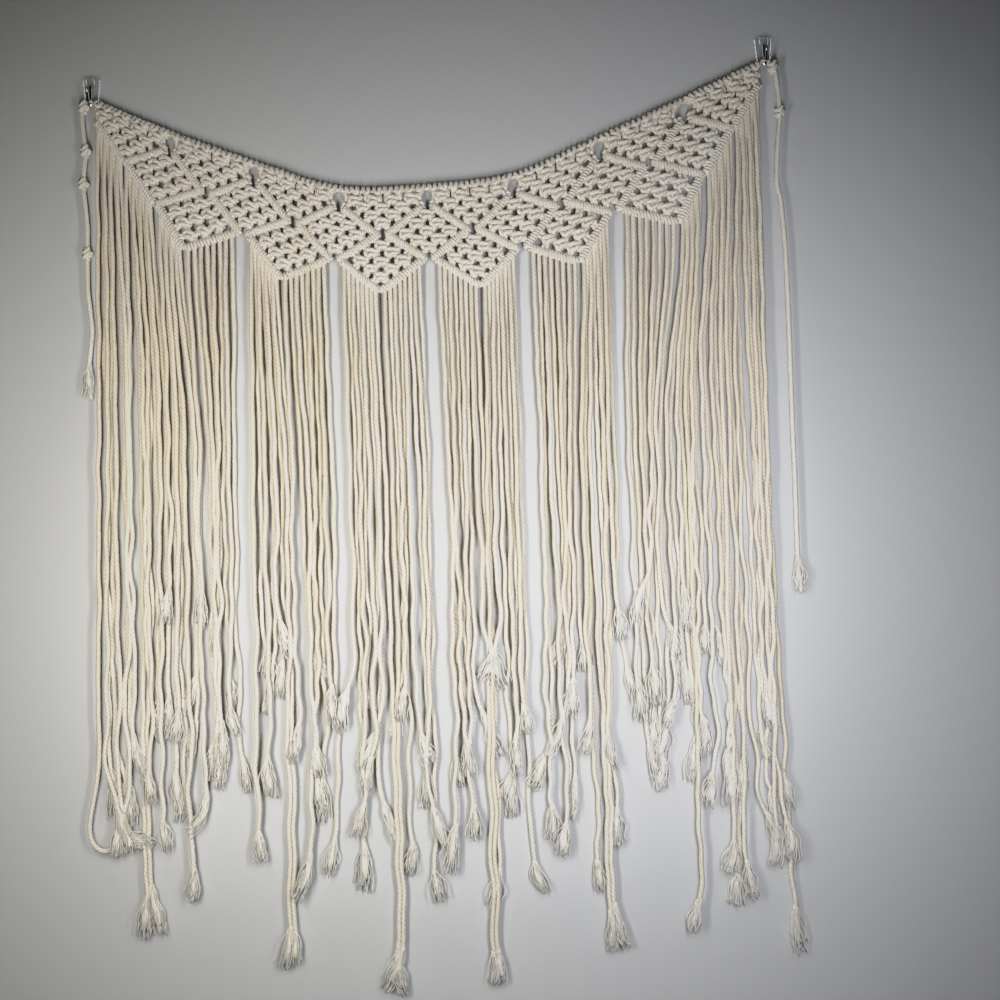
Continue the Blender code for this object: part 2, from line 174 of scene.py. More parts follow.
def add_node(
    tree: bpy.types.NodeTree,
    kind: str,
    settings: dict | None = None,
    links: dict | None = None,
) -> bpy.types.Node:
    """Adds a node, with its settings and what feeds it.

    Args:
        tree: The node tree.
        kind: Blender's name of the node's class.
        settings: Socket values by socket name or number, and attributes by name.
        links: Output sockets by the name or number of the input that they feed.

    Returns:
        The new node.
    """
    node = tree.nodes.new(kind)
    for name, value in (settings or {}).items():
        if isinstance(name, int) or name in node.inputs:
            node.inputs[name].default_value = value
        else:
            setattr(node, name, value)
    for name, socket in (links or {}).items():
        tree.links.new(socket, node.inputs[name])
    return node


def blank_material(name: str) -> tuple[bpy.types.Material, bpy.types.NodeTree]:
    """Makes a material whose node tree is empty.

    Args:
        name: The material's name.

    Returns:
        The material and its node tree.
    """
    material = bpy.data.materials.new(name)
    material.use_nodes = True
    material.node_tree.nodes.clear()
    return material, material.node_tree


@dataclass(frozen=True)
class TwistedCotton:
    """Undyed cotton cord, three plies spun and twisted: matte and ivory, with painted shade between its
    plies.
    """

    name: str = "twisted_cotton"
    ply_colour: str = "#f6f3ed"
    # painted shade, drawn in the grooves between the plies and in flecks over the cord
    painted_shade_colour: str = "#bfae92"
    # yellowed cotton, also used as painted warm bounce light along the fringe's strands
    aged_and_warm_lit_colour: str = "#ede3cf"
    roughness: float = 0.92
    specular: float = 0.25
    sheen: float = 0.25
    sheen_roughness: float = 0.6
    groove_start: float = 0.27  # where the painted groove shade starts, from a ply's crown at 0 to the groove at 0.5
    groove_shade: float = 0.55
    fibres_round: float = 18.0  # spun fibres round the cord, drawn coarser than real ones so that they show
    fibre_length_mm: float = 1.875
    fibre_height_mm: float = 0.5
    patch_mm: float = 60.0  # where the cord has yellowed a little
    patch_range: tuple = (0.4, 0.7)
    patch_shade: float = 0.35
    fuzz_mm: float = 1.5  # painted shade of loose fibres over the cord, in flecks
    fuzz_range: tuple = (0.46, 0.68)
    fuzz_shade: float = 0.45
    bump: float = 0.6
    glow: float = 0.08  # light that soaks through the loose fibres, which warms the gaps
    glow_mm: float = 2.4
    glow_tint: tuple = (1.0, 0.74, 0.52)  # how far red, green and blue soak, beside each other

    def material(self) -> bpy.types.Material:
        """Builds the material, which reads the map that runs along each cord.

        Returns:
            The material.
        """
        material, tree = blank_material(self.name)
        lay = add_node(tree, "ShaderNodeUVMap", {"uv_map": CordMesh.MAP})
        split = add_node(tree, "ShaderNodeSeparateXYZ", links={0: lay.outputs["UV"]})
        turns = add_node(tree, "ShaderNodeMath", {"operation": "MULTIPLY", 1: float(CordMesh.PLIES)},
                         {0: split.outputs["X"]})
        ply = add_node(tree, "ShaderNodeMath", {"operation": "PINGPONG", 1: 0.5}, {0: turns.outputs[0]})
        groove = add_node(tree, "ShaderNodeMapRange",
                          {"From Min": self.groove_start, "From Max": 0.5,
                           "interpolation_type": "SMOOTHSTEP"},
                          {"Value": ply.outputs[0]})
        along = add_node(tree, "ShaderNodeMapping",
                         {"Scale": (self.fibres_round, 1.0 / self.fibre_length_mm, 1.0)},
                         {"Vector": lay.outputs["UV"]})
        fibres = add_node(tree, "ShaderNodeTexNoise", {"Scale": 1.0, "Detail": 4.0, "Roughness": 0.6},
                          {"Vector": along.outputs[0]})
        place = add_node(tree, "ShaderNodeTexCoord")
        patches = add_node(tree, "ShaderNodeTexNoise",
                           {"Scale": 1.0 / (self.patch_mm * MM), "Detail": 2.0},
                           {"Vector": place.outputs["Object"]})
        shade = add_node(tree, "ShaderNodeAttribute", {"attribute_name": CordMesh.SHADE})
        # the yellowed tint, which along the fringe's strands is also painted warm bounce light
        aged = add_node(tree, "ShaderNodeMix",
                        {"data_type": "RGBA", FIRST_COLOUR: linear(self.ply_colour),
                         SECOND_COLOUR: linear(self.aged_and_warm_lit_colour)},
                        {0: shade.outputs["Fac"]})
        worn = add_node(tree, "ShaderNodeMapRange",
                        {"From Min": self.patch_range[0], "From Max": self.patch_range[1],
                         "To Max": self.patch_shade},
                        {"Value": patches.outputs[0]})
        patched = add_node(tree, "ShaderNodeMix",
                           {"data_type": "RGBA", SECOND_COLOUR: linear(self.aged_and_warm_lit_colour)},
                           {0: worn.outputs[0], FIRST_COLOUR: aged.outputs[MIXED_COLOUR]})
        flecks = add_node(tree, "ShaderNodeTexNoise",
                          {"Scale": 1.0 / (self.fuzz_mm * MM), "Detail": 3.0, "Roughness": 0.6},
                          {"Vector": place.outputs["Object"]})
        # painted shade in flecks, where loose fibres stand over the cord
        fuzz = add_node(tree, "ShaderNodeMapRange",
                        {"From Min": self.fuzz_range[0], "From Max": self.fuzz_range[1],
                         "To Max": self.fuzz_shade},
                        {"Value": flecks.outputs[0]})
        # painted shade: the grooves between the plies and the flecks are drawn in the darker colour
        deep = add_node(tree, "ShaderNodeMath", {"operation": "MULTIPLY", 1: self.groove_shade},
                        {0: groove.outputs[0]})
        dark = add_node(tree, "ShaderNodeMath", {"operation": "MAXIMUM"},
                        {0: deep.outputs[0], 1: fuzz.outputs[0]})
        colour = add_node(tree, "ShaderNodeMix",
                          {"data_type": "RGBA", SECOND_COLOUR: linear(self.painted_shade_colour)},
                          {0: dark.outputs[0], FIRST_COLOUR: patched.outputs[MIXED_COLOUR]})
        height = add_node(tree, "ShaderNodeMath", {"operation": "SUBTRACT"},
                          {0: fibres.outputs[0], 1: flecks.outputs[0]})
        bump = add_node(tree, "ShaderNodeBump",
                        {"Strength": self.bump, "Distance": self.fibre_height_mm * MM},
                        {"Height": height.outputs[0]})
        shader = add_node(tree, "ShaderNodeBsdfPrincipled",
                          {"Roughness": self.roughness, "Sheen Weight": self.sheen,
                           "Sheen Roughness": self.sheen_roughness,
                           "Specular IOR Level": self.specular,
                           "Subsurface Weight": self.glow, "Subsurface Scale": self.glow_mm * MM,
                           "Subsurface Radius": self.glow_tint},
                          {"Base Color": colour.outputs[MIXED_COLOUR], "Normal": bump.outputs[0]})
        add_node(tree, "ShaderNodeOutputMaterial", links={"Surface": shader.outputs[0]})
        return material


@dataclass(frozen=True)
class FrayedCotton:
    """The same cotton where its plies have come apart: whiter, loose yarns, with painted shade between
    them.
    """

    name: str = "frayed_cotton"
    tip_colour: str = "#f4f3ee"
    root_colour: str = "#e9e4d9"
    painted_gap_shade: str = "#c4baa6"
    roughness: float = 0.95
    specular: float = 0.2
    sheen: float = 0.3
    streaks_round: float = 15.4  # painted shade between the yarns, as darker streaks round a yarn
    streak_mm: float = 10.91  # and along it, about as long as the waves that the twist leaves in it
    streak_range: tuple = (0.32, 0.52)
    streak_shade: float = 0.55
    bump: float = 0.6
    bump_mm: float = 0.6

    def material(self) -> bpy.types.Material:
        """Builds the material, which is lighter where a yarn is loose.

        Returns:
            The material.
        """
        material, tree = blank_material(self.name)
        shade = add_node(tree, "ShaderNodeAttribute", {"attribute_name": CordMesh.SHADE})
        colour = add_node(tree, "ShaderNodeMix",
                          {"data_type": "RGBA", FIRST_COLOUR: linear(self.root_colour),
                           SECOND_COLOUR: linear(self.tip_colour)},
                          {0: shade.outputs["Fac"]})
        lay = add_node(tree, "ShaderNodeUVMap", {"uv_map": CordMesh.MAP})
        along = add_node(tree, "ShaderNodeMapping",
                         {"Scale": (self.streaks_round, 1.0 / self.streak_mm, 1.0)},
                         {"Vector": lay.outputs["UV"]})
        streaks = add_node(tree, "ShaderNodeTexNoise", {"Scale": 1.0, "Detail": 3.0},
                           {"Vector": along.outputs[0]})
        # painted shade: darker streaks stand for the shade between the yarns
        between = add_node(tree, "ShaderNodeMapRange",
                           {"From Min": self.streak_range[0], "From Max": self.streak_range[1],
                            "To Min": self.streak_shade, "To Max": 0.0},
                           {"Value": streaks.outputs[0]})
        streaked = add_node(tree, "ShaderNodeMix",
                            {"data_type": "RGBA", SECOND_COLOUR: linear(self.painted_gap_shade)},
                            {0: between.outputs[0], FIRST_COLOUR: colour.outputs[MIXED_COLOUR]})
        bump = add_node(tree, "ShaderNodeBump", {"Strength": self.bump, "Distance": self.bump_mm * MM},
                        {"Height": streaks.outputs[0]})
        shader = add_node(tree, "ShaderNodeBsdfPrincipled",
                          {"Roughness": self.roughness, "Sheen Weight": self.sheen,
                           "Specular IOR Level": self.specular},
                          {"Base Color": streaked.outputs[MIXED_COLOUR], "Normal": bump.outputs[0]})
        add_node(tree, "ShaderNodeOutputMaterial", links={"Surface": shader.outputs[0]})
        return material


@dataclass(frozen=True)
class ClearPolystyrene:
    """Moulded clear polystyrene: glossy and see-through, with bright edges."""

    name: str = "clear_polystyrene"
    colour: str = "#f5f6f6"
    through_colour: str = "#f7f8f8"
    ior: float = 1.59
    roughness: float = 0.04
    edge_blend: float = 0.35
    face_gloss: float = 0.06  # how much of the gloss shows where the plate faces the eye
    edge_gloss: float = 0.34  # and where it is seen along its surface

    def material(self) -> bpy.types.Material:
        """Builds the material, which is thin enough to let light straight through.

        Returns:
            The material.
        """
        material, tree = blank_material(self.name)
        edge = add_node(tree, "ShaderNodeLayerWeight", {"Blend": self.edge_blend})
        show = add_node(tree, "ShaderNodeMapRange",
                        {"To Min": self.face_gloss, "To Max": self.edge_gloss},
                        {"Value": edge.outputs["Facing"]})
        through = add_node(tree, "ShaderNodeBsdfTransparent", {"Color": linear(self.through_colour)})
        gloss = add_node(tree, "ShaderNodeBsdfPrincipled",
                         {"Base Color": linear(self.colour), "Roughness": self.roughness,
                          "IOR": self.ior})
        mix = add_node(tree, "ShaderNodeMixShader", links={0: show.outputs[0], 1: through.outputs[0],
                                                           2: gloss.outputs[0]})
        add_node(tree, "ShaderNodeOutputMaterial", links={"Surface": mix.outputs[0]})
        return material


@dataclass(frozen=True)
class PlatedWire:
    """Bent steel wire, nickel plated: dark where it mirrors the room, with a hard bright line."""

    name: str = "nickel_plated_wire"
    colour: str = "#8d8c88"
    roughness: float = 0.16
    mark_roughness: float = 0.12  # added where the wire is marked
    mark_mm: float = 10 / 9  # faint drawing marks, coarser than real ones so that they show

    def material(self) -> bpy.types.Material:
        """Builds the material, with faint drawing marks along the wire.

        Returns:
            The material.
        """
        material, tree = blank_material(self.name)
        place = add_node(tree, "ShaderNodeTexCoord")
        marks = add_node(tree, "ShaderNodeTexNoise",
                         {"Scale": 1.0 / (self.mark_mm * MM), "Detail": 2.0},
                         {"Vector": place.outputs["Object"]})
        gloss = add_node(tree, "ShaderNodeMapRange",
                         {"To Min": self.roughness, "To Max": self.roughness + self.mark_roughness},
                         {"Value": marks.outputs[0]})
        shader = add_node(tree, "ShaderNodeBsdfPrincipled",
                          {"Base Color": linear(self.colour), "Metallic": 1.0},
                          {"Roughness": gloss.outputs[0]})
        add_node(tree, "ShaderNodeOutputMaterial", links={"Surface": shader.outputs[0]})
        return material


# ------------------------------------------------------------------------------------ cord meshes

@dataclass
class CordMesh:
    """Lengths of cord gathered into one mesh, whose corners follow the twist of the plies."""

    name: str
    lay: float = 13.0  # along the cord, for one turn of its plies
    ply_height: float = 0.13  # of the radius, between a ply's crown and the groove beside it
    sides: int = 6
    points: list[np.ndarray] = field(default_factory=list)
    quads: list[np.ndarray] = field(default_factory=list)
    caps: list[np.ndarray] = field(default_factory=list)
    turns: list[np.ndarray] = field(default_factory=list)
    lengths: list[np.ndarray] = field(default_factory=list)
    shades: list[np.ndarray] = field(default_factory=list)
    count: int = 0  # of points so far

    MAP = "cord_lay"
    SHADE = "cord_shade"
    PLIES = 3

    def add(
        self,
        path: np.ndarray,
        radius: float | np.ndarray,
        shade: float | np.ndarray = 0.0,
        start: float = 0.0,
        sides: int | None = None,
    ) -> None:
        """Adds one length of cord.

        Args:
            path: The points along its middle, in millimetres.
            radius: The radius over the plies' crowns, one for all points or one for each.
            shade: How aged or how loose it is, from 0 to 1, and along the fringe's strands how much painted
                warm light they get.
            start: Where its lay starts, in millimetres.
            sides: Corners round it, where they aren't the mesh's own number.
        """
        path = np.asarray(path, float)
        rings = len(path)
        sides = sides or self.sides
        first, second = carried_frames(path)
        steps = np.linalg.norm(np.diff(path, axis=0), axis=1)
        along = start + np.concatenate([[0.0], np.cumsum(steps)])
        corner = np.arange(sides)
        angle = math.tau * (corner / sides - along[:, None] / self.lay)
        crowns = 1 - self.ply_height * (corner % 2) if sides == 2 * self.PLIES else np.ones(sides)
        reach = np.broadcast_to(radius, (rings,))[:, None] * crowns
        outward = np.cos(angle)[..., None] * first[:, None] + np.sin(angle)[..., None] * second[:, None]
        self.points.append((path[:, None] + reach[..., None] * outward).reshape(-1, 3))
        ring = np.arange(rings - 1)[:, None] * sides + self.count
        near, far = ring + corner, ring + (corner + 1) % sides
        self.quads.append(np.stack([near, far, far + sides, near + sides], -1).reshape(-1, 4))
        left = np.broadcast_to(corner / sides, near.shape)
        right = np.broadcast_to((corner + 1) / sides, near.shape)
        top = np.broadcast_to(along[:-1, None], near.shape)
        low = np.broadcast_to(along[1:, None], near.shape)
        self.turns.append(np.stack([left, right, right, left], -1).reshape(-1, 4))
        self.lengths.append(np.stack([top, top, low, low], -1).reshape(-1, 4))
        self.caps.append(self.count + corner[::-1])
        self.caps.append(self.count + (rings - 1) * sides + corner)
        self.shades.append(np.repeat(np.broadcast_to(shade, (rings,)), sides))
        self.count += rings * sides

    def triangles(self) -> int:
        """How many triangles the mesh has."""
        return 2 * sum(len(block) for block in self.quads) + sum(len(cap) - 2 for cap in self.caps)

    def build(self, material: bpy.types.Material) -> bpy.types.Object:
        """Makes the object.

        Args:
            material: What the cord is made of.

        Returns:
            The object, linked to the scene, riding on the body.
        """
        points = np.concatenate(self.points) * MM
        quads = np.concatenate(self.quads)
        caps = np.concatenate(self.caps)
        mesh = bpy.data.meshes.new(self.name)
        mesh.vertices.add(len(points))
        mesh.vertices.foreach_set("co", points.ravel())
        corners = np.concatenate([quads.ravel(), caps])
        mesh.loops.add(len(corners))
        mesh.loops.foreach_set("vertex_index", corners)
        sizes = np.array([4] * len(quads) + [len(cap) for cap in self.caps])
        starts = np.cumsum(sizes) - sizes
        mesh.polygons.add(len(starts))
        mesh.polygons.foreach_set("loop_start", starts)
        mesh.polygons.foreach_set("use_smooth", np.ones(len(starts), bool))
        layout = mesh.uv_layers.new(name=self.MAP)
        around = np.concatenate([np.concatenate(self.turns).ravel(), np.zeros(caps.size)])
        along = np.concatenate([np.concatenate(self.lengths).ravel(), np.zeros(caps.size)])
        layout.uv.foreach_set("vector", np.column_stack([around, along]).ravel())
        shade = mesh.attributes.new(self.SHADE, "FLOAT", "POINT")
        shade.data.foreach_set("value", np.concatenate(self.shades))
        mesh.update(calc_edges=True)
        mesh.materials.append(material)
        piece = bpy.data.objects.new(self.name, mesh)
        bpy.context.scene.collection.objects.link(piece)
        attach(piece, BODY)
        LOG.info("%s: %d triangles", self.name, self.triangles())
        return piece


# ------------------------------------------------------------------------------------ the panel

@dataclass(frozen=True)
class PanelForm:
    """How the panel hangs: its sagging top edge, and how its sections splay below it."""

    # x and z of the top edge at each section line.
    edge: tuple = ((5, -15), (82, -50), (166, -83), (251, -111), (340, -112), (427, -103), (515, -67),
                   (602, -30), (681, 6))
    section_width: float = 86.0
    splay: float = 13.0  # how much wider a section is at the panel's tips
    tip_drop: float = 105.0
    upright_section: float = 3.85  # the sections splay to both sides of this place
    stretch: float = 0.012  # how much longer each section hangs than the one on its left
    sections: int = 8

    def place(
        self,
        section: float | np.ndarray,
        offset: float | np.ndarray,
        drop: float | np.ndarray,
        forward: float | np.ndarray = 0.0,
    ) -> np.ndarray:
        """Finds points of the hanging panel.

        Args:
            section: A section line, or a place between two, counted from the left end.
            offset: How far to the right of it, in millimetres.
            drop: How far below the top edge.
            forward: How far in front of the panel's middle plane.

        Returns:
            The points, one row each.
        """
        section, offset, drop, forward = np.broadcast_arrays(
            *(np.atleast_1d(np.asarray(value, float)) for value in (section, offset, drop, forward))
        )
        fallen = (drop / self.tip_drop) ** 2
        where = section + offset / (self.section_width + self.splay * fallen)
        edge = smooth_values(np.array(self.edge), where)
        x = edge[:, 0] + self.splay * (where - self.upright_section) * fallen
        z = edge[:, 1] - drop * (1 + self.stretch * (where - self.sections / 2))
        return np.column_stack([x, CLOTH_Y - forward, z])


@dataclass(frozen=True)
class Outline:
    """Where the runs of half hitches start and stop, each end sideways and down from the top edge.

    The upper and middle runs are measured sideways from a section line, and the lower ones from the
    middle of a low diamond.
    """

    upper: tuple = ((4.8, 20.4), (39.2, 46.7))
    middle: tuple = ((39.2, 46.2), (4.6, 73.2))
    lower: tuple = ((39.0, 74.95), (2.0, 103.2))


INNER_OUTLINE = Outline()
END_OUTLINE = Outline(upper=((4.8, 20.4), (42.6, 46.7)), middle=((42.6, 46.2), (1.0, 73.2)),
                      lower=((42.0, 73.6), (2.0, 103.2)))


@dataclass(frozen=True)
class KnotField:
    """Square knots in alternating rows: a triangle or a diamond, repeated along the panel."""

    name: str
    first_section: float
    repeats: int
    first_drop: float
    rows: tuple
    pitch: float  # between two knots of a row
    upper_edge: float | None  # drop of the outline above, at the field's middle
    lower_edge: float  # and of the one below
    row_pitch: float = 8.0

    def has_knot(self, row: int, steps: int) -> bool:
        """Tells whether a row has a knot at a place.

        Args:
            row: The row, counted from the top one.
            steps: The place, in half pitches from the middle.

        Returns:
            Whether it has.
        """
        if not 0 <= row < len(self.rows):
            return False
        number = self.rows[row]
        return abs(steps) <= number - 1 and (steps - number + 1) % 2 == 0


@dataclass
class KnottedPanel:
    """The panel: lark's head knots, square knots and the half hitches that outline them."""

    form: PanelForm
    cotton: bpy.types.Material
    chance: np.random.Generator
    knot_radius: float = 2.45
    knot_pitch: float = 22.0  # between two knots of a row, for the sizes of the templates below
    point_spacing: float = 1.7
    radius_range: tuple = (0.92, 1.07)  # from one length of cord to the next
    most_shade: float = 0.2
    # How unevenly the knots are tied: millimetres from their places, turned in radians, in size as a
    # share, and millimetres within a knot, a lark's head, a lead and a half hitch.
    misplaced: float = 0.5
    forward_share: float = 0.6  # of that, towards the front or the back
    turned: float = 0.06
    resized: float = 0.04
    uneven_knot: float = 0.18
    uneven_head: float = 0.25
    uneven_lead: float = 0.3
    uneven_hitch: float = 0.12
    # The cords that lead from a knot to the outline beside it.
    lead_places: tuple = (2.0, 5.6)  # where they leave the knot, beside its middle
    lead_height: float = 3.6  # and above or below it
    lead_forward: tuple = (0.3, 0.6, -0.8)  # at their start, middle and end
    lead_lean: float = 3.0  # how far outwards they run
    middle_lead_lean: float = 5.5  # and from a knot in the middle of a field
    lead_overlap: float = 1.5  # how far they run into the outline
    shortest_lead: float = 1.0
    lead_share: float = 0.92  # their radius, for each of a knot's cords
    edge_slope: float = 0.765  # how steeply the outlines fall
    hitches: int = 8  # in each run
    hitch_radius: float = 1.6
    hitch_radius_range: tuple = (0.96, 1.08)
    hitch_half_height: float = 3.0
    hitch_half_depth: float = 3.2
    hitch_slant: float = 0.30
    hitch_start: float = 0.375  # of a turn
    points_per_turn: int = 13
    core_points: int = 24
    core_overlap: float = 0.06  # of a run's length, for the cord inside it past either end
    heads: int = 8  # in each section
    head_radius: float = 2.35
    slit_widths: tuple = (0.0, 9.0, 9.0, 10.0, 8.5, 9.0, 9.5, 18.0, 0.0)
    slit_drops: tuple = (1.0, 8.0, 15.0, 32.0)  # where a slit starts, is widest from and to, and stops
    slit_reach: float = 40.0  # no knot lower than this is beside a slit

    fields = (
        KnotField("square_knots_upper", 0.5, 8, 11.2, (4, 3, 2, 1), 20.6, None, 49.4),
        KnotField("square_knots_middle", 1.0, 7, 30.2, (1, 2, 3, 2, 1), 20.6, 16.7, 76.2),
        KnotField("square_knots_lower", 1.5, 6, 58.0, (1, 2, 3, 2, 1), 19.8, 43.2, 104.8),
    )
    # Each column is sideways, down and forward of the knot's middle.
    front_worker = (
        (-7.6, -4.6, -0.6), (-6.3, -4.0, 0.8), (-3.7, -3.1, 3.1), (0.0, -2.4, 3.9), (3.5, -1.8, 3.0),
        (5.6, -1.0, 0.5), (6.2, 0.3, -1.0), (5.5, 1.4, 0.6), (3.5, 2.0, 3.1), (0.0, 2.4, 3.8),
        (-3.5, 2.8, 2.9), (-5.7, 3.4, 0.4), (-6.0, 4.5, -0.3), (-5.6, 5.6, -0.2),
    )
    back_worker = (
        (7.6, -4.4, -0.8), (6.9, -3.5, 1.3), (6.4, -2.0, 2.5), (5.4, -1.2, 0.0), (3.2, -1.9, -2.9),
        (0.0, -2.1, -3.4), (-3.2, -1.9, -2.9), (-5.4, -1.6, -0.8), (-6.4, -0.8, 1.6), (-6.6, 0.4, 2.8),
        (-6.3, 1.6, 1.6), (-5.2, 2.1, -1.0), (-3.2, 2.1, -2.9), (0.0, 2.2, -3.4), (3.2, 2.0, -2.8),
        (5.4, 1.9, -0.6), (6.3, 2.8, 1.4), (5.9, 4.2, 0.6), (5.6, 5.4, 0.0),
    )
    filler = ((5.0, -4.6, 0.2), (3.2, -3.6, 0.4), (2.1, -2.4, 0.0), (2.1, 1.6, 0.0), (3.4, 4.6, -0.4))
    head_loop = (
        (-2.3, 8.0, 0.4), (-2.4, 5.4, -1.0), (-2.6, 2.4, -3.0), (-2.6, -0.8, -1.4),
        (-2.6, -0.9, 1.6), (-2.55, 1.6, 3.4), (-2.2, 3.6, 3.5), (-1.3, 4.7, 3.6), (0.0, 5.0, 3.6),
    )
    head_leg = ((2.4, 6.5, -0.5), (2.6, 9.5, 0.6), (2.6, 13.0, -0.8))

    def beside_slits(self, section: float, offset: np.ndarray, drop: np.ndarray) -> np.ndarray:
        """Pulls cords together where a slit opens on either side of a section.

        Args:
            section: The middle of the section, such as 0.5 for the first.
            offset: Sideways places beside it.
            drop: How far below the top edge each is.

        Returns:
            The places with the slits left open.
        """
        index = int(section)
        left, right = self.slit_widths[index], self.slit_widths[index + 1]
        share = np.interp(drop, self.slit_drops, (0.0, 1.0, 1.0, 0.0))
        tight = -offset * (left + right) / 2 / self.form.section_width + (left - right) / 4
        return offset + share * tight

    def tie(self, mesh: CordMesh, place: tuple[float, float, float], size: float) -> None:
        """Ties one square knot, a little unevenly.

        Args:
            mesh: The mesh that takes it.
            place: Section, offset and drop of its middle.
            size: How wide it is, beside the template.
        """
        section, offset, drop = place
        turn = self.chance.normal(0, self.turned)
        grow = 1 + self.chance.normal(0, self.resized)
        shift = self.chance.normal(0, self.misplaced, 3)
        fillers = [self.filler, tuple((-side, down, forward) for side, down, forward in self.filler)]
        for template in (self.front_worker, self.back_worker, *fillers):
            points = np.array(template) * (size, 1.0, 1.0) * grow
            points[1:-1] += self.chance.normal(0, self.uneven_knot, (len(points) - 2, 3))
            side = offset + points[:, 0] - points[:, 1] * turn + shift[0]
            down = drop + points[:, 1] + points[:, 0] * turn + shift[1]
            if section % 1 == 0.5 and drop < self.slit_reach:
                side = self.beside_slits(section, side, down)
            placed = self.form.place(section, side, down, points[:, 2] + shift[2] * self.forward_share)
            self.lay_cord(mesh, placed, self.knot_radius)

    def lay_cord(self, mesh: CordMesh, placed: np.ndarray, radius: float) -> None:
        """Adds one length of cord with a lay and a shade of its own.

        Args:
            mesh: The mesh that takes it.
            placed: The points that its middle runs through.
            radius: Its radius, before it is made a little thicker or thinner.
        """
        mesh.add(smooth_path(placed, self.point_spacing),
                 radius * self.chance.uniform(*self.radius_range),
                 shade=self.chance.uniform(0, self.most_shade), start=self.chance.uniform(0, LAY_SHIFT))

    def lead_out(self, mesh: CordMesh, knots: KnotField, place: tuple, row: int, steps: int) -> None:
        """Leads a knot's cords to the outline on each side where no other knot takes them.

        Args:
            mesh: The mesh that takes them.
            knots: The knot's field.
            place: Section, offset and drop of the knot's middle.
            row: The knot's row.
            steps: Its place in the row, in half pitches from the middle.
        """
        section, offset, drop = place
        for side in Side:
            for down, edge in ((-1, knots.upper_edge), (1, knots.lower_edge)):
                if edge is None or knots.has_knot(row + down, steps + side.value):
                    continue
                lean = self.lead_lean if steps else self.middle_lead_lean
                for reach in self.lead_places:
                    start = offset + side.value * reach
                    stop = start + side.value * lean
                    near = drop + down * self.lead_height
                    far = edge - down * (self.edge_slope * abs(stop) + self.lead_overlap)
                    if (far - near) * down < self.shortest_lead:
                        continue
                    lead = np.column_stack([np.linspace(start, stop, 3), np.linspace(near, far, 3),
                                            self.lead_forward])
                    lead[1] += self.chance.normal(0, self.uneven_lead, 3)
                    self.lay_cord(mesh, self.form.place(section, *lead.T),
                                  self.knot_radius * self.lead_share)

    def square_knots(self) -> list[bpy.types.Object]:
        """Builds the square knots, one piece for each field.

        Returns:
            The pieces.
        """
        pieces = []
        for knots in self.fields:
            mesh = CordMesh(knots.name)
            for repeat in range(knots.repeats):
                for row, number in enumerate(knots.rows):
                    for steps in range(1 - number, number, 2):
                        place = (knots.first_section + repeat, steps * knots.pitch / 2,
                                 knots.first_drop + row * knots.row_pitch)
                        self.tie(mesh, place, knots.pitch / self.knot_pitch)
                        self.lead_out(mesh, knots, place, row, steps)
            pieces.append(mesh.build(self.cotton))
        return pieces

    def hitch_runs(self) -> list[tuple[str, np.ndarray]]:
        """Lists the middle line of each run of half hitches.

        Returns:
            The name of the piece it belongs to, and its two ends as section, offset and drop.
        """
        runs = []

        def add_run(name: str, middle: float, side: Side, run: tuple) -> None:
            """Adds one run on one side of its section line or its diamond's middle."""
            runs.append((f"half_hitches_{name}",
                         np.array([(middle, side.value * offset, drop) for offset, drop in run])))

        last = self.form.sections
        for line in range(last + 1):
            for side in Side:
                if not 0 <= line + side.value / 2 <= last:
                    continue
                at_end = (line, side.value) in ((0, 1), (1, -1), (last - 1, 1), (last, -1))
                outline = END_OUTLINE if at_end else INNER_OUTLINE
                add_run("upper", line, side, outline.upper)
                if 0 < line < last:
                    add_run("middle", line, side, outline.middle)
        for diamond in range(1, last - 1):
            for side in Side:
                at_end = (diamond, side.value) in ((1, -1), (last - 2, 1))
                outline = END_OUTLINE if at_end else INNER_OUTLINE
                add_run("lower", diamond + 0.5, side, outline.lower)
        return runs

    def hitch(self, start: np.ndarray, stop: np.ndarray, first: float, last: float) -> np.ndarray:
        """Winds one double half hitch round the cord that carries it.

        Args:
            start: Section, offset and drop where the run begins.
            stop: The same where it ends.
            first: Where along the run the hitch begins, from 0 to 1.
            last: Where it ends.

        Returns:
            The points of its two turns.
        """
        turns = np.linspace(0, 2, 2 * self.points_per_turn + 1)
        along = first + (last - first) * turns / 2
        angle = math.tau * (turns + self.hitch_start)
        direction = stop[1:] - start[1:]
        direction = direction / float(np.linalg.norm(direction))
        up = np.array([direction[1], -direction[0]])
        if up[1] > 0:
            up = -up
        height = np.cos(angle) * self.hitch_half_height
        middle = start + (stop - start) * along[:, None]
        lean = -height * self.hitch_slant * np.sign(direction[0]) * np.sign(direction[1])
        offset = middle[:, 1] + up[0] * height + direction[0] * lean
        drop = middle[:, 2] + up[1] * height + direction[1] * lean
        return self.form.place(start[0], offset, drop, np.sin(angle) * self.hitch_half_depth)

    def half_hitches(self) -> list[bpy.types.Object]:
        """Builds the runs of half hitches with the cord inside each.

        Returns:
            The pieces.
        """
        meshes: dict[str, CordMesh] = {}
        for name, (start, stop) in self.hitch_runs():
            mesh = meshes.setdefault(name, CordMesh(name))
            past = (stop - start) * self.core_overlap
            core = np.linspace(start - past, stop + past, self.core_points)
            mesh.add(self.form.place(*core.T), self.knot_radius)
            for number in range(self.hitches):
                path = self.hitch(start, stop, number / self.hitches, (number + 1) / self.hitches)
                path += self.chance.normal(0, self.uneven_hitch, 3)
                mesh.add(path, self.hitch_radius * self.chance.uniform(*self.hitch_radius_range),
                         shade=self.chance.uniform(0, self.most_shade),
                         start=self.chance.uniform(0, LAY_SHIFT))
        return [mesh.build(self.cotton) for mesh in meshes.values()]

